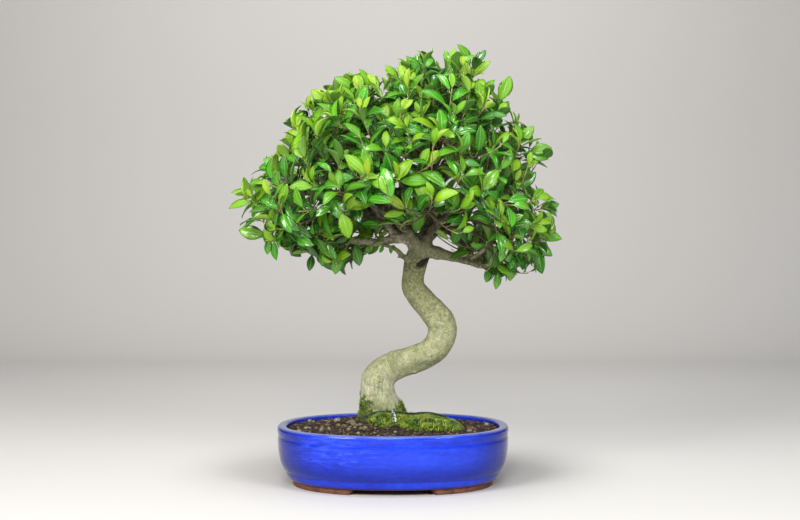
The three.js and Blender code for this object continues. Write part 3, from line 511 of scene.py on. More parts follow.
def living_bark(brush):
    """Smooth grey-green bark with pale flecks and fine rings, damp at its foot and dim in the crown, with
    painted shade over the elbow and the front of the foot, and near black painted shade in the scar.
    """
    height, across = brush.axis("Z"), brush.axis("X")
    patches = brush.cloud(0.022, detail=6, roughness=0.6, warp=0.4)
    speckle = brush.cloud(0.0036, detail=5, roughness=0.65)
    drift = brush.cloud(0.0085, detail=4, stretch=(1, 1, 0.7), warp=0.6)
    grain = brush.cloud(0.0015, detail=3)
    lichen = brush.cloud(0.014, detail=5)
    fissures = brush.cloud(0.0026, detail=5, stretch=(1, 1, 0.25))
    unrolled = {0: brush.number("along") * 260, 1: brush.number("around") * 3.2}
    rings = brush.node("TexNoise", {"noise_dimensions": "2D"}, {
        "Vector": brush.node("CombineXYZ", None, unrolled), "Scale": 1.6, "Detail": 4.0, "Roughness": 0.6})
    base = height.step(0.158, 0.125)
    # Painted shade: a darker band over the trunk's elbow.
    elbow_painted_shade = height.step(0.140, 0.165) * height.step(0.205, 0.175)
    fork = height.step(0.300, 0.310) * height.step(0.340, 0.322)
    # Painted shade: patches that darken the front of the trunk's foot, low down.
    foot = height.step(0.128, 0.113) * across.step(-0.039, -0.029) * across.step(0.002, -0.010)
    damp = height.step(0.114, 0.094) * brush.cloud(0.006, detail=4).step(0.38, 0.58)
    dim = speckle.ramp(
        (0.36, (0.055, 0.060, 0.020)), (0.5, (0.120, 0.128, 0.048)), (0.66, (0.23, 0.235, 0.11)))
    tan = speckle.ramp((0.36, (0.13, 0.10, 0.07)), (0.5, (0.44, 0.38, 0.29)), (0.66, (0.70, 0.64, 0.53)))
    brown = speckle.ramp(
        (0.36, (0.012, 0.008, 0.006)), (0.5, (0.036, 0.026, 0.017)), (0.66, (0.20, 0.16, 0.11)))
    colour = laid_over(
        patches.ramp((0.28, (0.17, 0.18, 0.085)), (0.45, (0.27, 0.295, 0.145)), (0.58, (0.35, 0.35, 0.18)),
                     (0.76, (0.43, 0.41, 0.27))),
        (rings.step(0.54, 0.72) * 0.45, (0.50, 0.50, 0.32)),
        (rings.step(0.46, 0.30) * 0.5, (0.12, 0.12, 0.055)),
        (speckle.step(0.53, 0.68) * 0.45, (0.56, 0.57, 0.40)),
        (speckle.step(0.47, 0.33) * 0.5, (0.10, 0.105, 0.046)),
        (drift.step(0.50, 0.36) * 0.45, (0.125, 0.135, 0.062)),
        (drift.step(0.52, 0.66) * 0.35, (0.50, 0.50, 0.335)),
        (grain.step(0.52, 0.64) * 0.3, (0.62, 0.61, 0.43)),
        (grain.step(0.48, 0.36) * 0.3, (0.09, 0.09, 0.04)),
        (lichen.step(0.58, 0.68) * 0.4, (0.36, 0.34, 0.27)),
        (base * across.step(-0.022, -0.040) * 0.4, (0.62, 0.62, 0.45)),
        (base * across.step(-0.024, 0.002) * 0.5, (0.72, 0.72, 0.52)),
        (elbow_painted_shade * 0.2, (0.17, 0.18, 0.085)),
        (fissures.step(0.53, 0.66) * base * 0.55, (0.70, 0.68, 0.53)),
        (fissures.step(0.46, 0.32) * base * 0.6, (0.18, 0.17, 0.085)),
        (height.step(0.17, 0.28) * 0.78, dim),
        (fork * 0.5, (0.34, 0.34, 0.19)),
        (brush.number("tan") * 0.85, tan),
        (brush.number("shade") * (patches.step(0.75, 0.35) * 0.3 + 0.66), brown),
        (foot * patches.step(0.70, 0.40) * 0.7, (0.20, 0.21, 0.10)),
        (damp * 0.75, (0.085, 0.110, 0.030)),
        # The scar's hollow, painted near black: painted shade.
        (brush.number("scar"), (0.016, 0.011, 0.007)))
    relief = brush.bump(rings, 1.0 * MM, 0.6)
    relief = brush.bump(patches, 1.2 * MM, 0.35, relief)
    relief = brush.bump(fissures * base, 1.4 * MM, 0.6, relief)
    relief = brush.bump(speckle, 0.8 * MM, 0.8, relief)
    return surface(brush, colour, 0.78, relief, specular_ior_level=0.3)


def twig_bark(brush):
    """Thin branches: reddish brown, greener where they are young."""
    patches = brush.cloud(0.006, detail=4)
    old = patches.ramp((0.3, (0.035, 0.023, 0.013)), (0.6, (0.095, 0.066, 0.038)), (0.8, (0.18, 0.14, 0.085)))
    young = patches.ramp((0.3, (0.20, 0.17, 0.045)), (0.7, (0.42, 0.40, 0.12)))
    colour = brush.number("young").mix(old, young)
    return surface(brush, colour, 0.7, brush.bump(brush.cloud(0.0012), 0.2 * MM, 0.5))


def leaf_face(brush):
    """The upper side of a leaf: glossy, with a pale midrib and faint side veins; yellow-green when young."""
    age, tone, along, across = (brush.number(name) for name in ("age", "tone", "along", "across"))
    across = abs(across)
    young = tone.mix((0.10, 0.33, 0.003), (0.24, 0.39, 0.006))
    grown = tone.mix((0.009, 0.11, 0.005), (0.068, 0.37, 0.006))
    veins = brush.maths("SINE", (along * 9.5 - across * 2.6) * TAU)
    rib = across.step(0.10, 0.03)
    blotch = brush.cloud(0.007, detail=4)
    colour = laid_over(
        age.step(0.0, 0.85).mix(young, grown),
        (veins.step(0.6, 1.0) * 0.14, (0.30, 0.50, 0.10)),
        (rib * 0.55, (0.38, 0.56, 0.16)),
        (across.step(0.86, 0.97) * 0.3, (0.34, 0.52, 0.10)),
        (blotch.step(0.5, 0.8) * 0.25, (0.008, 0.08, 0.010)))
    relief = brush.bump(rib * -1 + veins * 0.3, 0.4 * MM, 0.7)
    waxy = brush.maths("FRACT", tone * 9.0).step(0.35, 0.65) * age.step(0.15, 0.6)
    return surface(brush, colour, 0.30 - age * 0.08 + blotch * 0.05, relief, specular_ior_level=0.35,
                   coat_weight=waxy * 0.9, coat_roughness=0.07)


def leaf_back(brush):
    """The under side of a leaf: paler and duller, with a raised midrib."""
    young = brush.number("tone").mix((0.24, 0.46, 0.035), (0.38, 0.60, 0.06))
    rib = abs(brush.number("across")).step(0.10, 0.03)
    colour = brush.number("age").step(0.0, 0.75).mix(young, (0.075, 0.21, 0.035))
    colour = (rib * 0.6).mix(colour, (0.32, 0.42, 0.14))
    return surface(brush, colour, 0.5, brush.bump(rib, 0.4 * MM, 0.6))


def soil_bed(brush):
    """Damp dark soil between the crumbs."""
    patches = brush.cloud(0.006, detail=6)
    colour = patches.ramp((0.3, (0.010, 0.007, 0.004)), (0.7, (0.045, 0.030, 0.018)))
    return surface(brush, colour, 0.95, brush.bump(patches, 1.5 * MM, 0.8))


def crumb(brush):
    """Soil crumbs and grit: each its own tone, from near black through red-brown to pale tan stone."""
    colour = brush.number("tone").ramp(
        (0.0, (0.012, 0.008, 0.005)), (0.35, (0.045, 0.030, 0.020)), (0.6, (0.115, 0.066, 0.042)),
        (0.8, (0.25, 0.155, 0.10)), (0.86, (0.17, 0.15, 0.075)), (1.0, (0.42, 0.38, 0.25)))
    grain = brush.cloud(0.0014, detail=5)
    colour = (grain.step(0.40, 0.62) * 0.6).mix(colour, (0.022, 0.015, 0.010))
    return surface(brush, colour, 0.92, brush.bump(grain, 0.5 * MM, 0.7))


def moss_green(brush):
    """Moss: dark between the shoots, yellow-green at their tips, and straw where a shoot has dried."""
    patches = brush.cloud(0.013, detail=6)
    low = patches.ramp((0.40, (0.010, 0.026, 0.003)), (0.60, (0.045, 0.095, 0.008)))
    high = patches.ramp((0.40, (0.13, 0.34, 0.014)), (0.60, (0.74, 0.95, 0.075)))
    colour = brush.number("tip").mix(low, high)
    colour = brush.number("dry").mix(colour, (0.60, 0.52, 0.30))
    return surface(brush, colour, 0.9, brush.bump(brush.cloud(0.0015), 0.5 * MM, 0.7))


def coated_wire(brush):
    """Dark coated wire, scraped down to bright metal where it is twisted."""
    wear = brush.cloud(0.004, detail=3)
    colour = wear.ramp((0.4, (0.006, 0.014, 0.010)), (0.75, (0.035, 0.055, 0.040)))
    scraped = brush.number("bare") * brush.cloud(0.0022, detail=3).step(0.46, 0.54)
    colour = scraped.mix(colour, (0.80, 0.83, 0.85))
    return surface(brush, colour, 0.34, brush.bump(wear, 0.1 * MM, 0.4), metallic=scraped * 0.5 + 0.2)


def dark_plastic(brush):
    wear = brush.cloud(0.003, detail=3)
    colour = wear.ramp((0.4, (0.02, 0.02, 0.018)), (0.7, (0.05, 0.05, 0.045)))
    return surface(brush, colour, 0.6, brush.bump(wear, 0.1 * MM, 0.4))


def pale_stage(brush):
    return surface(brush, (0.62, 0.60, 0.575), 0.95, specular_ior_level=0.2)


# ---- the pot ----

POT_SIDES = 224
# Height and inset up the outside, over the rim and down the inside.
POT_PROFILE = np.array([
    (7.5, 40), (7.5, 20), (7.5, 17), (10, 14.5), (13, 12.5), (15.4, 11.3), (17, 10.9), (18.4, 10.8),
    (20, 9.6), (23, 7.2), (31, 3.8), (46, 1), (57, 0.6), (61.5, 0.6), (63.5, 0.85), (65.4, 1.05),
    (67.2, 0.75), (69, 0.3), (71, 0.1), (74, 0), (76.4, 0.7), (77.5, 2.6), (77.5, 5), (77.5, 9), (77, 11.2),
    (75, 12.8), (68, 12), (50, 14), (32, 17), (20, 22), (17, 28), (17, 60),
]) * MM
# Inset and height round a foot, from its outer side to its inner side.
FOOT_SECTION = np.array([
    (19.5, 8.2), (19.8, 4), (20.2, 1.4), (20.8, 0.4), (22, 0), (41, 0), (42.6, 0.4), (43.4, 1.5), (44, 8.2),
]) * MM
FOOT_END_LEAN = 0.035


def oval_point(inset, angle):
    """Points of the pot's oval, a little squarer than an ellipse, drawn in by an inset."""
    def bend(value):
        return np.sign(value) * np.abs(value) ** (2 / POT_SQUARENESS)
    return (POT_HALF_WIDTH - inset) * bend(np.cos(angle)), (POT_HALF_DEPTH - inset) * bend(np.sin(angle))


def oval_ring(inset, height, sides, share=1.0):
    x, y = oval_point(inset, np.arange(sides) / sides * TAU)
    return np.stack([x * share, y * share, np.broadcast_to(height, sides)], 1)


def rounded(line, rounds):
    """A line with its corners cut, its ends kept."""
    for _ in range(rounds):
        inner = np.stack([0.75 * line[:-1] + 0.25 * line[1:], 0.25 * line[:-1] + 0.75 * line[1:]], 1)
        line = np.vstack([line[:1], inner.reshape(-1, line.shape[1])[1:-1], line[-1:]])
    return line


def build_pot(glaze, clay):
    profile = rounded(POT_PROFILE, 2)
    ways = unit(np.diff(profile, axis=0))
    turns = np.cross(ways[:-1], ways[1:])
    turns = np.convolve(np.concatenate([[0], turns, [0]]), (0.3, 0.7, 1, 0.7, 0.3), "same")
    rings = []
    for height, inset in profile:
        ring = oval_ring(inset, height, POT_SIDES)
        wobble = ripples(ring, 0.045)
        ring[:, :2] *= 1 - 0.0012 * (wobble[:, None] + 1) * (height > FOOT_HEIGHT + MM)
        rings.append(ring)
    skin = Skin()
    skin.add(*ring_skin(rings), edge=np.append(np.repeat(np.clip(turns / 0.9, -1, 1), POT_SIDES), (0, 0)))
    body = skin.mesh("pot_body")
    drills = []
    for x in (-DRAIN_OFFSET, DRAIN_OFFSET):
        tube = Skin()
        tube.add(*limb(np.array([(x, 0, 0), (x, 0, 2 * FLOOR_TOP)]), [DRAIN_RADIUS] * 2, 48)[:2])
        drills.append(placed("drill", tube.mesh("drill")))
    body = evaluated(body, *(("BOOLEAN", {"object": drill, "solver": "EXACT"}) for drill in drills))
    for drill in drills:
        bpy.data.objects.remove(drill)
    make_piece("pot_body", body, [glaze], "glazed_pot", "pot")
    build_feet(clay)


def build_feet(clay):
    """Four arc feet, their ends leaning in towards the ground and their lower edges rounded."""
    outer_x, outer_y = POT_HALF_WIDTH - FOOT_OUTER_INSET, POT_HALF_DEPTH - FOOT_OUTER_INSET
    start = math.asin((FOOT_GAP_END / outer_y) ** (POT_SQUARENESS / 2))
    stop = math.acos((FOOT_GAP_FRONT / outer_x) ** (POT_SQUARENESS / 2))
    middle = FOOT_SECTION.mean(0)
    skin = Skin()
    for sign_x, sign_y in ((1, 1), (-1, 1), (-1, -1), (1, -1)):
        rings = []
        for share in np.linspace(0, 1, 33):
            end = min(1.0, min(share, 1 - share) / 0.03)
            shrink = 0.94 + 0.06 * math.sqrt(1 - (1 - end) ** 2)
            ring = []
            for inset, height in middle + (FOOT_SECTION - middle) * shrink:
                tilt = FOOT_END_LEAN * (1 - height / FOOT_HEIGHT)
                x, y = oval_point(inset, between(start + tilt, stop - tilt, share))
                ring.append((sign_x * x, sign_y * y, max(height, 0.0)))
            rings.append(np.array(ring)[::-sign_x * sign_y])
        skin.add(*ring_skin(rings))
    make_piece("pot_feet", skin.mesh("pot_feet"), [clay], "glazed_pot", "pot")


# ---- soil, grit and moss ----

CRUMBS, GRIT = 5200, 150
# The larger stones left of the trunk: x, y and size.
LARGE_STONES = np.array([
    (-52, -32, 13), (-64, -38, 10), (-43, -40, 12), (-72, -24, 9), (-36, -50, 9), (-58, -52, 8),
    (-84, -36, 8),
]) * MM
CUSHION_SHOOTS, FOOT_SHOOTS = 19000, 22000
FOOT_MOSS_TOP = 118 * MM


def soil_height(x, y):
    """The soil's surface, mounded towards the trunk."""
    x, y = x / MM, y / MM
    mound = SOIL_MOUND * np.exp(-(((x + 6) / 84) ** 2) - ((y - 2) / 62) ** 2)
    crumbs = 0.9 * np.sin(x * 0.21 + 1.3) * np.cos(y * 0.26) + 0.5 * np.sin(x * 0.5 + y * 0.43)
    return SOIL_EDGE + mound + crumbs * MM


def build_soil(bed, grain):
    sides = 160
    rings = [oval_ring(28 * MM + SOIL_GAP, FLOOR_TOP + 0.3 * MM, sides),
             oval_ring(17 * MM + SOIL_GAP, 32.3 * MM, sides)]
    for share in np.linspace(1, 0.02, 44):
        ring = oval_ring(13 * MM + SOIL_GAP, 0, sides, share)
        ring[:, 2] = soil_height(ring[:, 0], ring[:, 1]) + 0.6 * MM * lumps(ring, 0.006)
        rings.append(ring)
    skin = Skin()
    skin.add(*ring_skin(rings))
    make_piece("soil_bed", skin.mesh("soil_bed"), [bed], "potting_soil", "soil")
    build_stones(grain)


def unit_ball(make, **settings):
    """The vertices and faces of a ball that one of bmesh's operators makes."""
    ball = bmesh.new()
    make(ball, radius=1, **settings)
    verts = np.array([v.co for v in ball.verts])
    faces = [[v.index for v in f.verts] for f in ball.faces]
    ball.free()
    return verts, faces


def scatter_stones(skin, x, y, size, tone, sunk, squash=0.75):
    """Loose stones of the given sizes, each turned, stretched and dented in its own way."""
    ball, faces = unit_ball(bmesh.ops.create_icosphere, subdivisions=1)
    count = len(x)
    stretch = rng.uniform(0.65, 1.25, (count, 1, 3)) * (size / 2)[:, None, None]
    stones = ball[None] * (1 + rng.normal(0, 0.13, (count, len(ball), 1))) * stretch
    axis = unit(rng.normal(size=(count, 3)))
    frames = (axis, *turned(axis))
    stones = sum(stones[..., i:i + 1] * way[:, None] for i, way in enumerate(frames))
    stones[..., 2] *= squash
    base = np.stack([x, y, soil_height(x, y) + size * sunk], 1)
    skin.add(stones + base[:, None], [repeated(faces, count, len(ball))], tone=np.repeat(tone, len(ball)))


def over_soil(count, edge=13.5 * MM):
    """Random points on the soil, clear of the trunk and of the moss."""
    angle = rng.uniform(0, TAU, count)
    share = np.sqrt(rng.uniform(0, 1, count))
    x, y = oval_point(edge, angle)
    x, y = x * share, y * share
    clear = np.hypot(x + 15 * MM, y - 5 * MM) > 25 * MM
    for moss_x, moss_y, half_x, half_y, _ in MOSS_LUMPS:
        clear &= ((x - moss_x) / half_x) ** 2 + ((y - moss_y) / half_y) ** 2 > 0.72
    return x[clear], y[clear]


def build_stones(grain):
    crumbs = Skin()
    x, y = over_soil(CRUMBS)
    size = (1.4 + 5.4 * rng.beta(1.1, 2.8, len(x))) * MM
    tone = np.clip(rng.beta(1.3, 1.9, len(x)) * 0.95, 0, 0.80)
    scatter_stones(crumbs, x, y, size, tone, rng.uniform(-0.10, 0.36, len(x)))
    make_piece("soil_crumbs", crumbs.mesh("soil_crumbs"), [grain], "potting_soil", "soil", smooth=False)
    grit = Skin()
    x, y = over_soil(GRIT, 18 * MM)
    kept = rng.uniform(0, 1, len(x)) < np.where(x < 0, 0.8, 0.3)
    x, y = x[kept], y[kept]
    size = (4.0 + 9.0 * rng.beta(1.1, 1.7, len(x))) * MM
    scatter_stones(grit, x, y, size, rng.uniform(0.84, 0.98, len(x)), 0.12, 0.7)
    scatter_stones(grit, *LARGE_STONES.T, np.linspace(0.84, 0.93, len(LARGE_STONES)), 0.15, 0.8)
    mesh = evaluated(grit.mesh("grit"), ("SUBSURF", {"levels": 1, "subdivision_type": "CATMULL_CLARK"}))
    make_piece("pale_grit", mesh, [grain], "potting_soil", "soil")


def moss_shoots(skin, feet, ways, length, radius, light):
    """Tapered three-sided shoots, one from each foot, between its way and upright, bent over a little."""
    count, each = len(feet), 7
    axis = unit(ways + UP * 0.7 + rng.normal(0, 0.3, (count, 3)))
    around = three_round(axis)
    low = feet[:, None] + around * radius[:, None, None]
    bent = feet + axis * (length * 0.55)[:, None]
    middle = bent[:, None] + around * (radius * 0.8)[:, None, None]
    tips = feet + unit(axis + rng.normal(0, 0.35, (count, 3))) * length[:, None]
    verts = np.concatenate([low, middle, tips[:, None]], 1)
    quads = [[0, 1, 4, 3], [1, 2, 5, 4], [2, 0, 3, 5]]
    ends = [[3, 4, 6], [4, 5, 6], [5, 3, 6], [2, 1, 0]]
    tip = np.tile([0, 0, 0, 0.6, 0.6, 0.6, 1.0], count) * np.repeat(light, each)
    dry = np.repeat(rng.uniform(0, 1, count) ** 24, each)
    skin.add(verts, [repeated(faces, count, each) for faces in (quads, ends)], tip=tip, dry=dry)


def points_on(mesh, count, top=1.0):
    """Random points on a mesh, up to a height, with the normals there."""
    mesh.calc_loop_triangles()
    triangles = read(mesh.vertices, "co", 3)[read(mesh.loop_triangles, "vertices", 3, int)]
    cross = np.cross(triangles[:, 1] - triangles[:, 0], triangles[:, 2] - triangles[:, 0])
    area = np.linalg.norm(cross, axis=1) * (triangles[:, 0, 2] < top)
    chosen = rng.choice(len(area), count, p=area / area.sum())
    a, b = np.sqrt(rng.uniform(0, 1, count)), rng.uniform(0, 1, count)
    weights = np.stack([1 - a, a * (1 - b), a * b], 1)[..., None]
    return (triangles[chosen] * weights).sum(1) - POT_CENTRE, unit(cross[chosen])


def moss_cushion():
    """The mesh of the moss's body: two bumpy lumps grown together."""
    skin = Skin()
    for x, y, half_x, half_y, height in MOSS_LUMPS:
        verts, faces = unit_ball(bmesh.ops.create_uvsphere, u_segments=64, v_segments=32)
        verts = verts * (half_x, half_y, height)
        verts = verts * (1 + 0.07 * lumps(verts, 0.012)[:, None]) + (x, y, soil_height(x, y) - height * 0.35)
        skin.add(verts, [np.array([f for f in faces if len(f) == sides]) for sides in (3, 4)])
    mesh = evaluated(skin.mesh("moss"), ("REMESH", {"mode": "VOXEL", "voxel_size": 1.8 * MM}))
    number_vertices(mesh, "tip", np.full(len(mesh.vertices), 0.1))
    return mesh


def cushion_moss(skin, mesh):
    """Shoots over the cushion, kept short under the wire in front and let past it behind."""
    feet, normals = points_on(mesh, CUSHION_SHOOTS)
    above = feet[:, 2] > soil_height(feet[:, 0], feet[:, 1]) - 0.5 * MM
    feet, normals = feet[above], normals[above]
    count = len(feet)
    tall = lumps(feet, 0.0055, 0.7)
    length = np.maximum(4.2 + 4.6 * tall + rng.uniform(-1.4, 1.8, count), 1.2) * MM
    wire_depth, wire_height = (np.interp(feet[:, 0], WIRE_LINE[:, 0], WIRE_LINE[:, i]) for i in (1, 2))
    top = wire_height + np.where(feet[:, 1] > wire_depth + 3 * MM, 2.2 * MM, -WIRE_RADIUS)
    length = np.clip(length, 0.8 * MM, np.maximum(top - feet[:, 2], 0.8 * MM))
    light = rng.uniform(0.1, 1.0, count) * np.clip(0.75 + 0.9 * tall, 0.1, 1.1)
    radius = rng.uniform(0.30, 0.80, count) * MM
    moss_shoots(skin, feet - normals * 0.4 * MM, normals, length, radius, light)


def foot_moss(skin, mesh):
    """Tufts on the trunk's foot, which climb higher at its left and its right."""
    feet, normals = points_on(mesh, FOOT_SHOOTS, FOOT_MOSS_TOP)
    patch, tuft = lumps(feet, 0.010, layers=2), ripples(feet, 0.0035)
    left = np.clip((-feet[:, 0] - 21 * MM) / (12 * MM), 0, 1)
    right = np.clip(feet[:, 0] / (7 * MM), 0, 1)
    reach = (93 + 15 * left + 11 * right + 8 * patch + 14 * tuft) * MM
    kept = (feet[:, 2] < reach) & (feet[:, 2] > soil_height(feet[:, 0], feet[:, 1]) - MM)
    kept &= (feet[:, 1] < 22 * MM) & (feet[:, 0] > -47 * MM)
    feet, normals, patch = feet[kept], normals[kept], patch[kept]
    count = len(feet)
    length = np.maximum(3.2 + 3.0 * patch + rng.uniform(-0.8, 2.4, count), 1.2) * MM
    light = rng.uniform(0.05, 0.85, count) * np.clip(0.7 + 0.8 * patch, 0.1, 1.0)
    radius = rng.uniform(0.26, 0.55, count) * MM
    moss_shoots(skin, feet - normals * 0.3 * MM, unit(normals * 0.5 + UP * 0.6), length, radius, light)


def build_moss(green, trunk_mesh):
    cushion = moss_cushion()
    make_piece("moss_cushion", cushion, [green], "moss", "moss")
    shoots = Skin()
    cushion_moss(shoots, cushion)
    foot_moss(shoots, trunk_mesh)
    make_piece("moss_shoots", shoots.mesh("moss_shoots"), [green], "moss", "moss")


# ---- the wood ----

TRUNK_SIDES, BRANCH_SIDES = 56, 24
WOOD_VOXEL = 1.35 * MM
# How dark brown and how pale tan each main branch is. The others are dark.
BRANCH_TINTS = {"left": (0.03, 0.9), "left_low": (0.3, 0.0), "left_rise": (0.55, 0.6), "right": (0.08, 0.15),
                "right_droop": (0.55, 0.3)}
DARK = (1.0, 0.0)
# Where the bark stands out in knuckles: from and to, and the radius at both ends, in millimetres.
KNUCKLES = [((70, -2, 206), (85.5, -2, 210), 14, 5.5), ((24, -6, 153), (32, -9, 147), 6, 3.5),
            ((44, -2, 239), (33, -4, 231), 9, 4.5), ((30, -1, 262), (15, -3, 268), 9, 4)]
DARK_KNUCKLE = np.array((31, -9, 145)) * MM
# The old pruning cut at the top of the trunk's front: a hollow in the bark, painted near black as its shade.
SCAR = np.array((40, 0, 293)) * MM
SCAR_WAY = np.array((0.86, 0.0, 0.51))
SCAR_HALF_LENGTH, SCAR_HALF_WIDTH = 11.5 * MM, 5.5 * MM
SCAR_DEPTH = 3.2


def limb_lines():
    """The centre line, radii and tint of every limb that the trunk's skin is grown over."""
    line, radii = smooth_line(TRUNK_LINE, 300)
    shade = np.clip((line[:, 2] - 322 * MM) / (16 * MM), 0, 1)
    lines = [(line, radii, np.stack([shade, shade * 0], 1))]
    for degrees, length, radius in ROOTS:
        angle = math.radians(degrees)
        way = np.array((math.cos(angle), math.sin(angle), 0))
        foot = np.array((-15, 5.5, 0)) * MM
        start, bend, end = (foot + way * reach * MM + UP * height * MM
                            for reach, height in ((12, 91), (24 + length * 0.4, 86), (24 + length, 70)))
        lines.append((arc(start, bend, end, 24), np.linspace(radius, 2.5, 25) * MM, np.zeros((25, 2))))
    for start, end, thick, thin in KNUCKLES:
        line = between(np.array(start), np.array(end), np.linspace(0, 1, 6)[:, None]) * MM
        lines.append((line, np.linspace(thick, thin, 6) * MM, np.zeros((6, 2))))
    for name, rows in BRANCHES.items():
        points, radii = smooth_line(rows, 70)
        tint = np.tile(BRANCH_TINTS.get(name, DARK), (len(points), 1))
        if name not in BRANCH_TINTS:
            tint[:, 0] = np.clip((points[:, 2] - 317 * MM) / (18 * MM), 0.2, 1)
        free = np.clip(np.arange(len(points)) / 14, 0, 1)
        crook = np.array([noise.noise_vector(Vector(point) / 0.019) for point in points])
        radii = radii * (1 + 0.2 * ripples(points, 0.011) * free)
        points = points + crook * (free * 1.5 * MM)[:, None]
        lines.append((points, radii, tint))
        lines += [stub(points, radii, place, tint[:5]) for place in (24, 47)]
    return lines


def stub(points, radii, place, tint):
    """The short stump of a pruned twig on a branch."""
    way = unit(points[place + 1] - points[place - 1])
    side = unit(np.cross(way, rng.normal(size=3)))
    length = radii[place] * 0.9 + rng.uniform(2, 5) * MM
    line = points[place] + (side + way * 0.5) * np.linspace(0, length, 5)[:, None]
    return line, np.linspace(radii[place] * 0.6, radii[place] * 0.42, 5), tint


def smoothed(values, edges, rounds, share=0.5):
    """Numbers or places at a mesh's vertices, drawn towards the mean of their neighbours."""
    degree = np.bincount(edges.ravel(), minlength=len(values))[:, None]
    for _ in range(rounds):
        total = np.zeros_like(values)
        np.add.at(total, edges[:, 0], values[edges[:, 1]])
        np.add.at(total, edges[:, 1], values[edges[:, 0]])
        values = values + share * (total / np.maximum(degree, 1) - values)
    return values


def wood_skin(lines):
    """One mesh grown over all the limbs."""
    core = Skin()
    for number, (points, radii, _) in enumerate(lines):
        def swell(angles, i, trunk=number == 0):
            if trunk:
                return 1 + (0.035 * np.sin(3 * angles + i * 0.03) + 0.025 * np.sin(5 * angles - i * 0.05))
            return 1 + 0.02 * np.sin(2 * angles + i * 0.2)
        core.add(*limb(points, radii, TRUNK_SIDES if number == 0 else BRANCH_SIDES, swell)[:2])
    return evaluated(core.mesh("trunk"), ("REMESH", {"mode": "VOXEL", "voxel_size": WOOD_VOXEL}))


def build_trunk(material):
    lines = limb_lines()
    mesh = wood_skin(lines)
    edges = read(mesh.edges, "vertices", 2, int)
    verts = smoothed(read(mesh.vertices, "co", 3) - POT_CENTRE, edges, 5)
    along, around, thick, tint, axis = limb_places(lines, verts)
    tint = smoothed(tint, edges, 12)
    dark = np.exp(-(np.linalg.norm((verts - DARK_KNUCKLE) * (0.6, 0.4, 1), axis=1) / (2.6 * MM)) ** 2)
    rings = np.array([
        noise.fractal(Vector((s * 330, math.cos(a) * 1.3, math.sin(a) * 1.3)), 0.7, 2.0, 3)
        for s, a in zip(along, around)])
    depth = np.clip(thick / (20 * MM), 0.12, 1.4)
    scar = scar_mask(verts)
    relief = (1.1 * lumps(verts, 0.026, 0.7) + 0.34 * rings) * depth
    relief = relief + 0.42 * lumps(verts, 0.0085) * np.clip(thick / (12 * MM), 0.3, 1)
    verts = verts + unit(verts - axis) * (relief - SCAR_DEPTH * scar)[:, None] * MM
    mesh.vertices.foreach_set("co", (verts + POT_CENTRE).ravel())
    for name, values in (("along", along), ("around", np.cos(around)), ("scar", scar),
                         ("shade", np.maximum(tint[:, 0], dark)), ("tan", tint[:, 1])):
        number_vertices(mesh, name, values)
    mesh.update()
    make_piece("trunk_and_limbs", mesh, [material], "bark", "trunk")
    return mesh


def limb_places(lines, verts):
    """For each vertex: how far along its limb, the angle round it, its radius and tint, and its middle."""
    points, radii, tints = (np.concatenate([limb_line[i] for limb_line in lines]) for i in range(3))
    lengths = np.concatenate([np.append(0, np.cumsum(np.linalg.norm(np.diff(line, axis=0), axis=1)))
                              for line, _, _ in lines])
    tree = kdtree.KDTree(len(points))
    for i, point in enumerate(points):
        tree.insert(point, i)
    tree.balance()
    nearest = np.array([tree.find(v)[1] for v in verts])
    away = verts - points[nearest]
    around = np.arctan2(away[:, 1], away[:, 0] + away[:, 2] * 0.5)
    return lengths[nearest], around, radii[nearest], tints[nearest], points[nearest]


def scar_mask(verts):
    """1 in the middle of the scar, 0 outside it. The bark is pressed in there and painted near black as
    shade.
    """
    away = verts - SCAR
    long = away @ SCAR_WAY / SCAR_HALF_LENGTH
    wide = away @ np.cross(SCAR_WAY, (0.0, 1.0, 0.0)) / SCAR_HALF_WIDTH
    wobble = ripples(verts, 0.004) * 0.2
    return np.clip((1.15 + wobble - np.hypot(long, wide)) / 0.5, 0, 1) * (verts[:, 1] < 2 * MM)


# ---- the crown ----

MAIN_SHOOTS, SHOOTS = 3, 10
FILL_SPREAD = 0.44
STEM_STEPS, SHOOT_STEPS = 24, 16
# A leaf's rows from its base to its tip, and its columns from edge to edge.
LEAF_ROWS = np.array((0.07, 0.18, 0.33, 0.5, 0.67, 0.82, 0.93))
LEAF_COLUMNS = np.array((-1, -0.55, 0, 0.55, 1))
LEAF_THICKNESS = 0.7 * MM
# How full the leaf is towards its base and its tip.
LEAF_BASE, LEAF_TIP = 0.97, 0.90
# How far back from its shoot's tip each leaf stands, how far it leans from the shoot, and its size.
LEAF_STATIONS = (0.5, 3.5, 8, 13.5, 20, 27.5, 36, 46, 57, 69)
LEAF_TILTS = (0.38, 0.62, 0.8, 0.95, 1.05, 1.15, 1.25, 1.3, 1.3, 1.3)
LEAF_SIZES = (0.62, 0.78, 0.9, 1.0, 1.0, 0.97, 0.94, 0.9, 0.9, 0.85)
LEAF_ROOM = 5 * MM
ATTEMPTS = 5
# The hollows among the leaves at the crown's outside, and how deep the noise dips in them.
HOLLOW_SIZE, HOLLOW_DIP = 26 * MM, -0.26
# Open places round the fork: x and z from and to, how far back they reach, and the share of leaves left out.
BARE_PLACES = [(-4, 66, 250, 366, 80, 0.88), (56, 131, 262, 352, 80, 0.93), (-48, 26, 250, 316, 80, 0.95),
               (60, 88, 318, 352, 200, 0.97), (-8, 14, 331, 350, 200, 0.92), (-40, -14, 316, 334, 200, 0.85)]
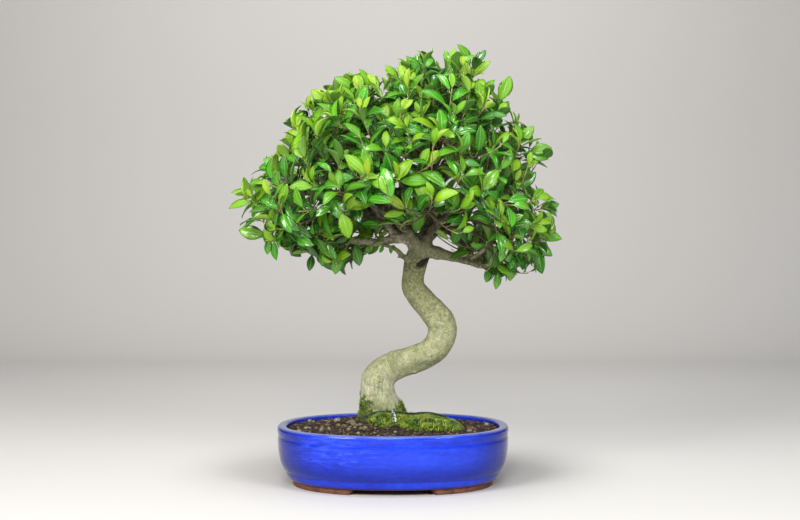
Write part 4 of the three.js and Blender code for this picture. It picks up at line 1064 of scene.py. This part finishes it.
# Single leaves near the fork, which the front shows one by one: the wood that each grows from, its base and
# its tip in millimetres, the way its upper side faces, and its age.
LONE_LEAVES = [
    ((44, -8, 372), (37, -24, 371), (31, -30, 333), (0.1, -1, 0.1), 0.6),
    ((104, -13, 301), (103, -20, 309), (74, -25, 305), (0, -0.75, 0.66), 0.5),
    ((92, -6, 361), (89, -13, 353), (84, -17, 317), (0.3, -1, 0), 0.95),
    ((95, -6, 364), (96, -13, 348), (102, -16, 322), (-0.3, -1, 0), 0.8),
    ((-19, -8, 322), (-13, -12, 318), (-17, -14, 307), (0.4, -1, 0.3), 1.0),
    ((-2, -6, 326), (-1, -13, 318), (-4, -15, 306), (-0.3, -1, 0.2), 1.0),
    ((-30, -8, 322), (-31, -13, 317), (-37, -16, 306), (0.2, -1, 0.2), 1.0),
    ((-46, -8, 323), (-47, -14, 317), (-43, -16, 303), (-0.2, -1, 0.1), 0.8),
    ((-16, -2, 355), (-14, -20, 343), (-43, -26, 349), (0, -0.95, 0.4), 0.9),
]
LONE_SPRAY = 22  # counting from 0, the spray in front of the fork, whose piece they belong to
# The x and z of the tips of single leaves at the crown's edge: those that hang from its underside, and
# those that stand out of its sides and top.
HANGING_TIPS = [
    (-157, 298), (-167, 306), (-119, 310), (-110, 284), (-93, 290), (-73, 279), (-43, 291), (140, 259),
    (158, 270), (175, 285), (194, 277), (128, 268),
]
STANDING_TIPS = [
    (-214, 393), (-216, 370), (-212, 338), (-170, 433), (-141, 488), (-110, 523), (-76, 544), (-40, 549),
    (-7, 558), (22, 568), (41, 576), (89, 585), (121, 576), (125, 564), (130, 537), (155, 540),
    (152, 510), (183, 476), (212, 452), (208, 439), (221, 375), (224, 332), (214, 307),
]
EDGE_LEAF = 32 * MM  # from a shoot to the tip of such a leaf, as near as the shoots allow
LONGEST_EDGE_LEAF = 44 * MM


def crown_reach(direction):
    """How far the crown reaches from its centre in a direction."""
    angle = math.degrees(math.atan2(direction[2], direction[0]))
    if angle < CROWN_OUTLINE[0][0]:
        angle += 360
    following = int(np.argmax(CROWN_OUTLINE[:, 0] > angle))
    (low, near), (high, far) = CROWN_OUTLINE[following - 1], CROWN_OUTLINE[following]
    share = (angle - low) / (high - low)
    reach = between(near, far, share * share * (3 - 2 * share)) * MM
    return 1 / math.hypot(math.hypot(direction[0], direction[2]) / reach, direction[1] / CROWN_HALF_DEPTH)


def across_pair(direction):
    reference = UP if abs(direction[2]) < 0.95 else np.array((1.0, 0, 0))
    first = unit(np.cross(direction, reference))
    return first, np.cross(direction, first)


def spray_direction(spray):
    if spray >= SPIRAL_SPRAYS:
        degrees, back = LOBE_SPRAYS[spray - SPIRAL_SPRAYS]
        frontal, angle = math.sqrt(1 - back * back), math.radians(degrees)
        return np.array((frontal * math.cos(angle), back, frontal * math.sin(angle)))
    height = 1 - ((spray + 0.5) / SPIRAL_SPRAYS) * (1 - LOWEST_SPRAY)
    flat = math.sqrt(1 - height * height)
    angle = spray * GOLDEN_ANGLE
    return np.array((flat * math.cos(angle), flat * math.sin(angle), height))


def shoot_tip(spray, shoot):
    """Where a shoot ends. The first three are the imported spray's own; the others fill in round them."""
    direction = spray_direction(spray)
    if shoot > 0:
        first, second = across_pair(direction)
        angle = shoot * GOLDEN_ANGLE + chance(spray, 0, 0, 1) * TAU
        spread_out = between(*SHOOT_SPREADS, chance(spray, shoot, 0, 2))
        if shoot >= MAIN_SHOOTS:
            spread_out = FILL_SPREAD * math.sqrt((shoot - 1.5) / (SHOOTS - 2))
        direction = direction + (first * math.cos(angle) + second * math.sin(angle)) * spread_out
        direction = direction / np.linalg.norm(direction)
    share = between(0.94, 1.02, chance(spray, shoot, 0, 3))
    if shoot >= MAIN_SHOOTS:
        share = between(0.66, 1.08, chance(spray, shoot, 0, 3) ** 0.7)
    return CROWN_CENTRE + direction * (crown_reach(direction) * share - TIP_INSET)


def spray_lines(spray):
    """The line of each shoot of a spray, and the place and heading that they all start from."""
    tips = [shoot_tip(spray, shoot) for shoot in range(SHOOTS)]
    root = between(CROWN_HEART, tips[0], SPRAY_ROOT_SHARE)
    control = between(root, tips[0], 0.55) - UP * SHOOT_DIP
    heading = unit(control - root)
    stem = arc(root + heading * SPRAY_GAP, control, tips[0], STEM_STEPS)
    droop = 1 + 1.3 * min(1.0, max(0.0, spray_direction(spray)[2] + 0.2))
    lines = [stem]
    for shoot in range(1, SHOOTS):
        if shoot < MAIN_SHOOTS:
            share, dip = SHOOT_FORKS[shoot - 1], 0.6
        else:
            share = between(0.12, 0.72, chance(spray, shoot, 1, 3))
            dip = between(0.5, 1.2, chance(spray, shoot, 2, 3)) * droop
        base = stem[round(share * STEM_STEPS)]
        pull = between(base, tips[shoot], 0.55) - UP * SHOOT_DIP * dip
        lines.append(arc(base, pull, tips[shoot], SHOOT_STEPS))
    return root, heading, lines


def fork_for(place, lines):
    """The point and radius of the main branch or leader that the fine branch to a place grows from."""
    best = None
    for points, radii in lines:
        cost = np.linalg.norm(points - place, axis=1) + 0.75 * np.linalg.norm(points - CROWN_HEART, axis=1)
        cost[:2] = 1
        i = int(np.argmin(cost))
        if best is None or cost[i] < best[0]:
            best = (cost[i], points[i], radii[i])
    return best[1:]


def build_fine_branches(material):
    forks = [smooth_line(rows, 6) for rows in [*BRANCHES.values(), TRUNK_LINE[-6:]]]
    skin = Skin()
    for spray in range(SPRAYS):
        root, heading, _ = spray_lines(spray)
        fork, thick = fork_for(root, forks)
        control = root - heading * 0.45 * np.linalg.norm(fork - root)
        line = arc(fork, control, root + heading * SPRAY_GAP, 20)
        line[1:-1] += rng.normal(0, 0.35 * MM, (len(line) - 2, 3))
        radii = np.linspace(min(thick * 0.8, 3.4 * MM), STEM_RADIUS, len(line))
        radii = radii * (1 + 0.08 * np.sin(np.arange(len(line)) * 2.1 + spray))
        verts, faces, flat = limb(line, radii, 10)
        skin.add(verts, faces, flat=flat, young=0.0)
    make_piece("fine_branches", skin.mesh("fine_branches"), [material], "bark", "trunk")


def leaf_template():
    """A leaf's vertices as (along, across, side), and its two skins of faces. Side is 1 above, -1 below."""
    places = [(0.0, 0.0, 0.0)]
    places += [(u, v, 1.0 if abs(v) < 1 else 0.0) for u in LEAF_ROWS for v in LEAF_COLUMNS]
    places += [(1.0, 0.0, 0.0)]
    places += [(u, v, -1.0) for u in LEAF_ROWS for v in LEAF_COLUMNS[1:-1]]
    rows, columns = len(LEAF_ROWS), len(LEAF_COLUMNS)
    tip = 1 + rows * columns

    def over(row, column):
        return 1 + row * columns + column

    def under(row, column):
        inside = 0 < column < columns - 1
        return tip + 1 + row * (columns - 2) + column - 1 if inside else over(row, column)
    skins = []
    for corner, flip in ((over, 1), (under, -1)):
        quads = [[corner(r, c), corner(r + 1, c), corner(r + 1, c + 1), corner(r, c + 1)][::-flip]
                 for r in range(rows - 1) for c in range(columns - 1)]
        fans = [[0, corner(0, c), corner(0, c + 1)][::-flip] for c in range(columns - 1)]
        fans += [[corner(rows - 1, c), tip, corner(rows - 1, c + 1)][::-flip] for c in range(columns - 1)]
        skins.append((quads, fans))
    return np.array(places), skins


LEAF_PLACES, LEAF_SKINS = leaf_template()


def leaf_width(along):
    """Half the leaf's width, as a share of its greatest, from base to tip."""
    peak = LEAF_BASE / (LEAF_BASE + LEAF_TIP)
    shape = np.clip(along, 0, 1) ** LEAF_BASE * (1 - np.clip(along, 0, 1)) ** LEAF_TIP
    return shape / (peak**LEAF_BASE * (1 - peak)**LEAF_TIP)


def grow_leaves(skin, leaves):
    """Adds all the leaves of a spray: folded, arched, twisted and waved blades on thin petioles."""
    names = "base along face length width age tone fold arch twist wave root".split()
    base, along, face, length, width, age, tone, fold, arch, twist, wave, root = (
        np.array([leaf[name] for leaf in leaves]) for name in names)
    count, each = len(leaves), len(LEAF_PLACES)
    left = np.cross(face, along)
    u, v, side = (LEAF_PLACES[None, :, i] for i in range(3))
    size = length[:, None]
    half = size * width[:, None] / 2 * leaf_width(u)
    curl = arch[:, None] + 0.25 * arch[:, None] * u
    reach = size * np.sin(curl * u) / curl
    sag = -size * (1 - np.cos(curl * u)) / curl
    sideways = v * half * np.cos(fold[:, None])
    lift = np.abs(v) ** 1.25 * half * np.sin(fold[:, None])
    lift = lift + 0.014 * size * v**2 * np.sin(u * 8 + wave[:, None]) * leaf_width(u)
    lift = lift + side * LEAF_THICKNESS / 2 * (0.45 + 0.55 * (v == 0)) * np.sqrt(leaf_width(u))
    turn = twist[:, None] * u
    sideways, lift = (sideways * np.cos(turn) - lift * np.sin(turn),
                      sideways * np.sin(turn) + lift * np.cos(turn))
    verts = (base[:, None] + along[:, None] * reach[..., None] + left[:, None] * sideways[..., None]
             + face[:, None] * (sag + lift)[..., None])
    flat = np.tile(np.stack([LEAF_PLACES[:, 0], LEAF_PLACES[:, 1] / 2 + 0.5], 1), (count, 1))
    start = skin.hold(
        verts, age=np.repeat(age, each), tone=np.repeat(tone, each), young=1.0,
        along=np.tile(LEAF_PLACES[:, 0], count), across=np.tile(LEAF_PLACES[:, 1], count))
    for material, faces in enumerate(LEAF_SKINS):
        skin.cover(start, [repeated(f, count, each) for f in faces], material, flat, count)
    grow_petioles(skin, root, base, along)


def grow_petioles(skin, root, base, along):
    """A thin stalk from each leaf's shoot to its blade, three-sided, in its own cell of the map."""
    count = len(root)
    length = np.linalg.norm(base - root, axis=1)[:, None]
    inside = base + along * 1.5 * MM
    line = arc(root[:, None], (base - along * length * 0.45)[:, None], inside[:, None], 3)
    radius = np.array((0.62, 0.5, 0.45, 0.25))[None, :, None, None] * MM
    verts = (line[:, :, None] + three_round(unit(inside - root))[:, None] * radius).reshape(count, -1, 3)
    quads = [[i * 3 + s, i * 3 + (s + 1) % 3, i * 3 + 3 + (s + 1) % 3, i * 3 + 3 + s]
             for i in range(3) for s in range(3)]
    ends = [[2, 1, 0], [9, 10, 11]]
    flat = np.stack([np.tile((0.1, 0.5, 0.9), 4), np.repeat((0.1, 0.4, 0.7, 0.9), 3)], 1)
    start = skin.hold(verts, young=1.0, age=0.3, tone=0.5, along=0.5, across=0.0)
    faces = [repeated(f, count, 12) for f in (quads, ends)]
    skin.cover(start, faces, 2, np.tile(flat, (count, 1)), count)


def back_from_tip(line, length):
    """The place and heading a given length back from the end of a line, or None if it is too short."""
    steps = np.linalg.norm(np.diff(line, axis=0), axis=1)
    behind = np.concatenate([np.cumsum(steps[::-1])[::-1], [0]])
    if length > 0.8 * behind[0]:
        return None
    i = int(np.searchsorted(-behind, -length))
    i = min(max(i, 1), len(line) - 1)
    heading = unit(line[i] - line[i - 1])
    return line[i] - heading * (length - behind[i]), heading


class Crowd:
    """Remembers where leaves lie, so that no two share a place."""

    NEIGHBOURS = [(dx, dy, dz) for dx in (-1, 0, 1) for dy in (-1, 0, 1) for dz in (-1, 0, 1)]

    def __init__(self, room):
        self.room = room
        self.held = {}

    def home(self, point):
        return tuple(int(c // self.room) for c in point)

    def near(self, points):
        for point in points:
            x, y, z = self.home(point)
            for dx, dy, dz in self.NEIGHBOURS:
                for other in self.held.get((x + dx, y + dy, z + dz), ()):
                    if sum((a - b) ** 2 for a, b in zip(point, other)) < self.room**2:
                        return True
        return False

    def add(self, points):
        for point in points:
            self.held.setdefault(self.home(point), []).append(tuple(point))


def leaf_marks(leaf):
    """Three places along a leaf's blade."""
    return [leaf["base"] + leaf["along"] * leaf["length"] * share for share in (0.3, 0.6, 0.9)]


def facing(face, along):
    """The way a leaf's upper side faces: as given, but square to the blade."""
    return unit(face - along * face.dot(along))


def pose_leaf(spray, shoot, station, line, attempt):
    """How one leaf stands on its shoot, or None where the shoot is too short for it."""
    spot = back_from_tip(line, LEAF_STATIONS[station] * MM)
    if spot is None:
        return None
    root, heading = spot

    def draw(key):
        return chance(spray, shoot, station, key + 12 * attempt)
    fresh = 0.45 if chance(spray, shoot, 3, 4) < 0.35 else 0.0
    age = min(1.0, max(0.0, station / 5.5 - 0.12 + fresh + 0.3 * (draw(5) - 0.5)))
    first, second = across_pair(heading)
    angle = station * GOLDEN_ANGLE + chance(spray, shoot, 0, 4) * TAU
    angle += (draw(6) - 0.5) * (0.7 + 1.2 * attempt)
    tilt = LEAF_TILTS[station] + (draw(7) - 0.5) * 0.5
    along = heading * math.cos(tilt) + (first * math.cos(angle) + second * math.sin(angle)) * math.sin(tilt)
    height = min(1.0, max(0.0, spray_direction(spray)[2] + 0.55))
    lift = between(between(0.25, 0.7, height), between(-0.85, 0.5, height), age)
    along = unit(along + UP * lift)
    outward = unit(root - CROWN_CENTRE)
    loose = np.array((draw(8), draw(9), draw(10))) - 0.5
    grown = LEAF_SIZES[station]
    petiole = between(4.5, 8.5, draw(12)) * MM * (0.6 + 0.4 * grown)
    # Painted shade: leaves further back along their shoots, deep in the crown, get darker tones.
    painted_depth_shade = between(1.0, 0.35, min(1.0, max(0.0, (station - 3) / 4)))
    own, shared = chance(spray, shoot, station, 13), chance(spray, shoot, 0, 14)
    return {
        "root": root, "base": root + unit(along + heading * 0.35) * petiole, "along": along,
        "face": facing(heading * 0.45 + outward * 0.5 + UP * 0.45 + loose * 0.9, along),
        "length": between(24, 42, draw(11) ** 1.2) * MM * grown,
        "width": between(0.44, 0.55, draw(17)) + 0.04 * (1 - age), "age": age,
        "tone": painted_depth_shade * min(1.0, own * 0.7 + 0.3 * shared + 0.2 * height),
        "fold": between(0.14, 0.62, draw(13)), "arch": between(0.15, 0.85, draw(14)),
        "twist": between(-0.35, 0.35, draw(15)), "wave": TAU * draw(16),
    }


def outside_crown(place):
    """Whether a leaf's end would stand out of the clipped crown, or in one of its open places."""
    away = place - CROWN_CENTRE
    length = np.linalg.norm(away)
    room = 3 * MM if away[2] < -0.25 * length else 8 * MM
    reach = crown_reach(away / length)
    in_hollow = length > 0.86 * reach and noise.noise(Vector(place) / HOLLOW_SIZE) < HOLLOW_DIP
    if length > reach + room or in_hollow:
        return True
    x, y, z = place / MM
    bare = max([share for left, right, low, high, back, share in BARE_PLACES
                if left < x < right and low < z < high and y < back], default=0.0)
    return chance(round(x * 8), round(z * 8), round(y * 8), 5) < bare


def single_leaf(number, root, base, tip, face, **looks):
    """A leaf of its own on its stalk, from its root through its base to its tip."""
    along = unit(tip - base)
    return looks | {
        "root": root, "base": base, "along": along, "face": facing(face, along),
        "length": np.linalg.norm(tip - base), "fold": 0.3, "twist": 0.2, "wave": float(number),
    }


def lone_leaves():
    leaves = []
    for number, (*places, face, age) in enumerate(LONE_LEAVES):
        places = [np.array(place) * MM for place in places]
        tone = chance(number, 1, 0, 0)
        leaves.append(single_leaf(number, *places, np.array(face), width=0.5, age=age, tone=tone, arch=0.5))
    return leaves


def edge_leaves(shoots):
    """For each spray, its single leaves at the crown's edge, each from the nearest place on a shoot."""
    spots = np.vstack([line for lines in shoots for line in lines])
    owners = [spray for spray, lines in enumerate(shoots) for line in lines for _ in line]
    leaves = [[] for _ in shoots]
    for number, (x, z) in enumerate(HANGING_TIPS + STANDING_TIPS):
        hangs = number < len(HANGING_TIPS)
        tip = np.array((x, -20, z)) * MM
        inward = UP if hangs else unit((CROWN_HEART - tip) * (1, 0, 1))
        away = np.linalg.norm((spots - tip - inward * EDGE_LEAF) * (1, 0.6, 1), axis=1)
        nearest = int(np.argmin(away + (spots[:, 1] > 25 * MM)))
        root = spots[nearest]
        tip[1] = root[1] - 9 * MM
        tip = root + unit(tip - root) * min(np.linalg.norm(tip - root), LONGEST_EDGE_LEAF)
        turn, tilt, wide, old, tone = (chance(number, key, 0, 0) for key in (2, 3, 4, 5, 6))
        face = np.array((turn - 0.5, -1.0, (0.35 if hangs else 0.9) * tilt))
        leaves[owners[nearest]].append(single_leaf(
            number, root, between(root, tip, 0.16), tip, face, width=between(0.46, 0.58, wide),
            age=between(0.6, 1.0, old) if hangs else between(0.0, 0.75, old), tone=tone * 0.8, arch=0.45))
    return leaves


def place_leaf(spray, shoot, station, line, crowd):
    """The first pose tried for a leaf that has room in the crown, or None."""
    for attempt in range(ATTEMPTS):
        leaf = pose_leaf(spray, shoot, station, line, attempt)
        if leaf is None:
            return None
        marks = leaf_marks(leaf)
        if not crowd.near(marks) and not outside_crown(marks[-1]):
            crowd.add(marks)
            return leaf
    return None


def build_sprays(upper, lower, twig):
    crowd = Crowd(LEAF_ROOM)
    shoots = [spray_lines(spray)[2] for spray in range(SPRAYS)]
    single = edge_leaves(shoots)
    single[LONE_SPRAY] += lone_leaves()
    for leaf in sum(single, []):
        crowd.add(leaf_marks(leaf))
    for spray, lines in enumerate(shoots):
        leaves = [place_leaf(spray, shoot, station, line, crowd)
                  for shoot, line in enumerate(lines) for station in range(len(LEAF_STATIONS))]
        skin = Skin()
        grow_leaves(skin, single[spray] + [leaf for leaf in leaves if leaf])
        for shoot, line in enumerate(lines):
            radii = np.linspace(SHOOT_RADIUS if shoot else STEM_RADIUS, TIP_RADIUS, len(line))
            radii = radii * (1 + 0.1 * np.sin(np.arange(len(line)) * 2.4 + shoot))
            verts, faces, flat = limb(line, radii, 6)
            fresh = np.append(np.repeat(np.clip(np.linspace(-1.2, 1, len(line)), 0.05, 1), 6), (0.05, 1))
            skin.add(verts, faces, 2, flat, young=fresh, age=0.5, tone=0.5, along=0.5, across=0.0)
        name = f"spray_{spray + 1:02d}"
        make_piece("leafy_" + name, skin.mesh("leafy_" + name), [upper, lower, twig], "leaf", name)


# ---- the wire ----

KNOT_START, KNOT_END = np.array((0, -33, 98.5)) * MM, np.array((2.5, -47.5, 88.5)) * MM
KNOT_TURNS = 3.5
KNOT_STEPS = 90


def build_wire(material):
    skin = Skin()
    line, _ = smooth_line(WIRE_LINE, 240)
    skin.add(*limb(line, np.full(len(line), WIRE_RADIUS), 12)[:2], bare=0.0)
    t = np.linspace(0, 1, KNOT_STEPS)[:, None]
    loose = 1.8 + 1.6 * np.clip((t - 0.85) / 0.15, 0, 1)
    for phase in (0, math.pi):
        turn = t * KNOT_TURNS * TAU + phase
        ring = np.concatenate([np.cos(turn), np.sin(turn) * 0.6, np.sin(turn) * 0.8], 1)
        twist = KNOT_START + (KNOT_END - KNOT_START) * t + ring * WIRE_RADIUS * loose
        skin.add(*limb(twist, np.full(KNOT_STEPS, WIRE_RADIUS * 1.15), 10)[:2], bare=1.0)
    make_piece("tie_wire_strands", skin.mesh("tie_wire_strands"), [material], "wire", "tie_wire")


# ---- stage, light and camera ----

CAMERA_DISTANCE = 1.64
CAMERA_HEIGHT = 0.298
CAMERA_SIDE = 9.4 * MM
LENS, SENSOR_WIDTH = 54.8, 36
FLOOR_FRONT, FLOOR_BACK, FLOOR_HALF_WIDTH = -2.7, 1.9, 1.7
SWEEP_RADIUS, BACKDROP_TOP = 0.8, 3.0
PLANT_MIDDLE = (0, 0, 0.3)
# Each lamp's name, place, aim, width and height, watts and colour.
LAMPS = [
    ("left_window", (-1.45, -1.8, 1.35), PLANT_MIDDLE, (1.0, 1.0), 52, (1.0, 0.98, 0.95)),
    ("front_window", (-0.1, -2.3, 1.45), PLANT_MIDDLE, (0.8, 0.7), 35, (1.0, 0.99, 0.97)),
    ("right_window", (1.4, -1.85, 1.25), PLANT_MIDDLE, (0.8, 0.8), 28, (0.95, 0.98, 1.0)),
    ("top", (0.0, -0.45, 2.1), PLANT_MIDDLE, (0.8, 0.8), 25, (0.96, 0.98, 1.0)),
    ("backdrop", (0.0, 1.2, 2.2), (0.0, 2.7, 0.9), (1.6, 0.4), 14, (1.0, 1.0, 1.0)),
]


def build_stage(material):
    """A plain pale floor that sweeps up into a plain backdrop."""
    angles = np.linspace(0.1, math.pi / 2, 14)
    line = [(FLOOR_FRONT, 0.0), (FLOOR_BACK, 0.0)]
    line += [(FLOOR_BACK + SWEEP_RADIUS * math.sin(a), SWEEP_RADIUS * (1 - math.cos(a))) for a in angles]
    line += [(FLOOR_BACK + SWEEP_RADIUS, BACKDROP_TOP)]
    verts = [(x, y, z) for y, z in line for x in (-FLOOR_HALF_WIDTH, FLOOR_HALF_WIDTH)]
    faces = [(2 * i, 2 * i + 1, 2 * i + 3, 2 * i + 2) for i in range(len(line) - 1)]
    mesh = bpy.data.meshes.new("sweep")
    mesh.from_pydata(verts, [], faces)
    mesh.materials.append(material)
    mesh.shade_smooth()
    sweep = placed("sweep", mesh)


def build_light():
    world = bpy.data.worlds.new("studio")
    world.use_nodes = True
    sky = world.node_tree.nodes["Background"]
    sky.inputs["Color"].default_value = (0.92, 0.95, 1.0, 1.0)
    sky.inputs["Strength"].default_value = 0.15
    bpy.context.scene.world = world
    for name, place, aim, size, watts, colour in LAMPS:
        lamp = bpy.data.lights.new(name, "AREA")
        lamp.shape = "RECTANGLE"
        lamp.size, lamp.size_y = size
        lamp.energy = watts
        lamp.color = colour
        holder = placed(name, lamp)
        holder.location = place
        holder.rotation_euler = (Vector(aim) - Vector(place)).to_track_quat("-Z", "Y").to_euler()
    view = bpy.context.scene.view_settings
    view.view_transform = "Standard"
    view.look = "None"


def build_camera():
    camera = bpy.data.cameras.new("camera")
    camera.lens = LENS
    camera.sensor_width = SENSOR_WIDTH
    holder = placed("camera", camera)
    holder.location = POT_CENTRE + (CAMERA_SIDE, -CAMERA_DISTANCE, CAMERA_HEIGHT)
    holder.rotation_euler = (math.pi / 2, 0, 0)
    bpy.context.scene.camera = holder


build_camera()
build_light()
build_stage(finish(pale_stage))

build_pot(finish(cobalt_glaze), finish(bare_clay))
build_soil(finish(soil_bed), finish(crumb))
trunk_skin = build_trunk(finish(living_bark))
twig = finish(twig_bark)
build_fine_branches(twig)
build_moss(finish(moss_green), trunk_skin)
build_wire(finish(coated_wire))
build_sprays(finish(leaf_face), finish(leaf_back), twig)
screen = finish(dark_plastic)
for side in ("left", "right"):
    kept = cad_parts["drain_screen_" + side].data.materials
    kept.clear()
    kept.append(screen)
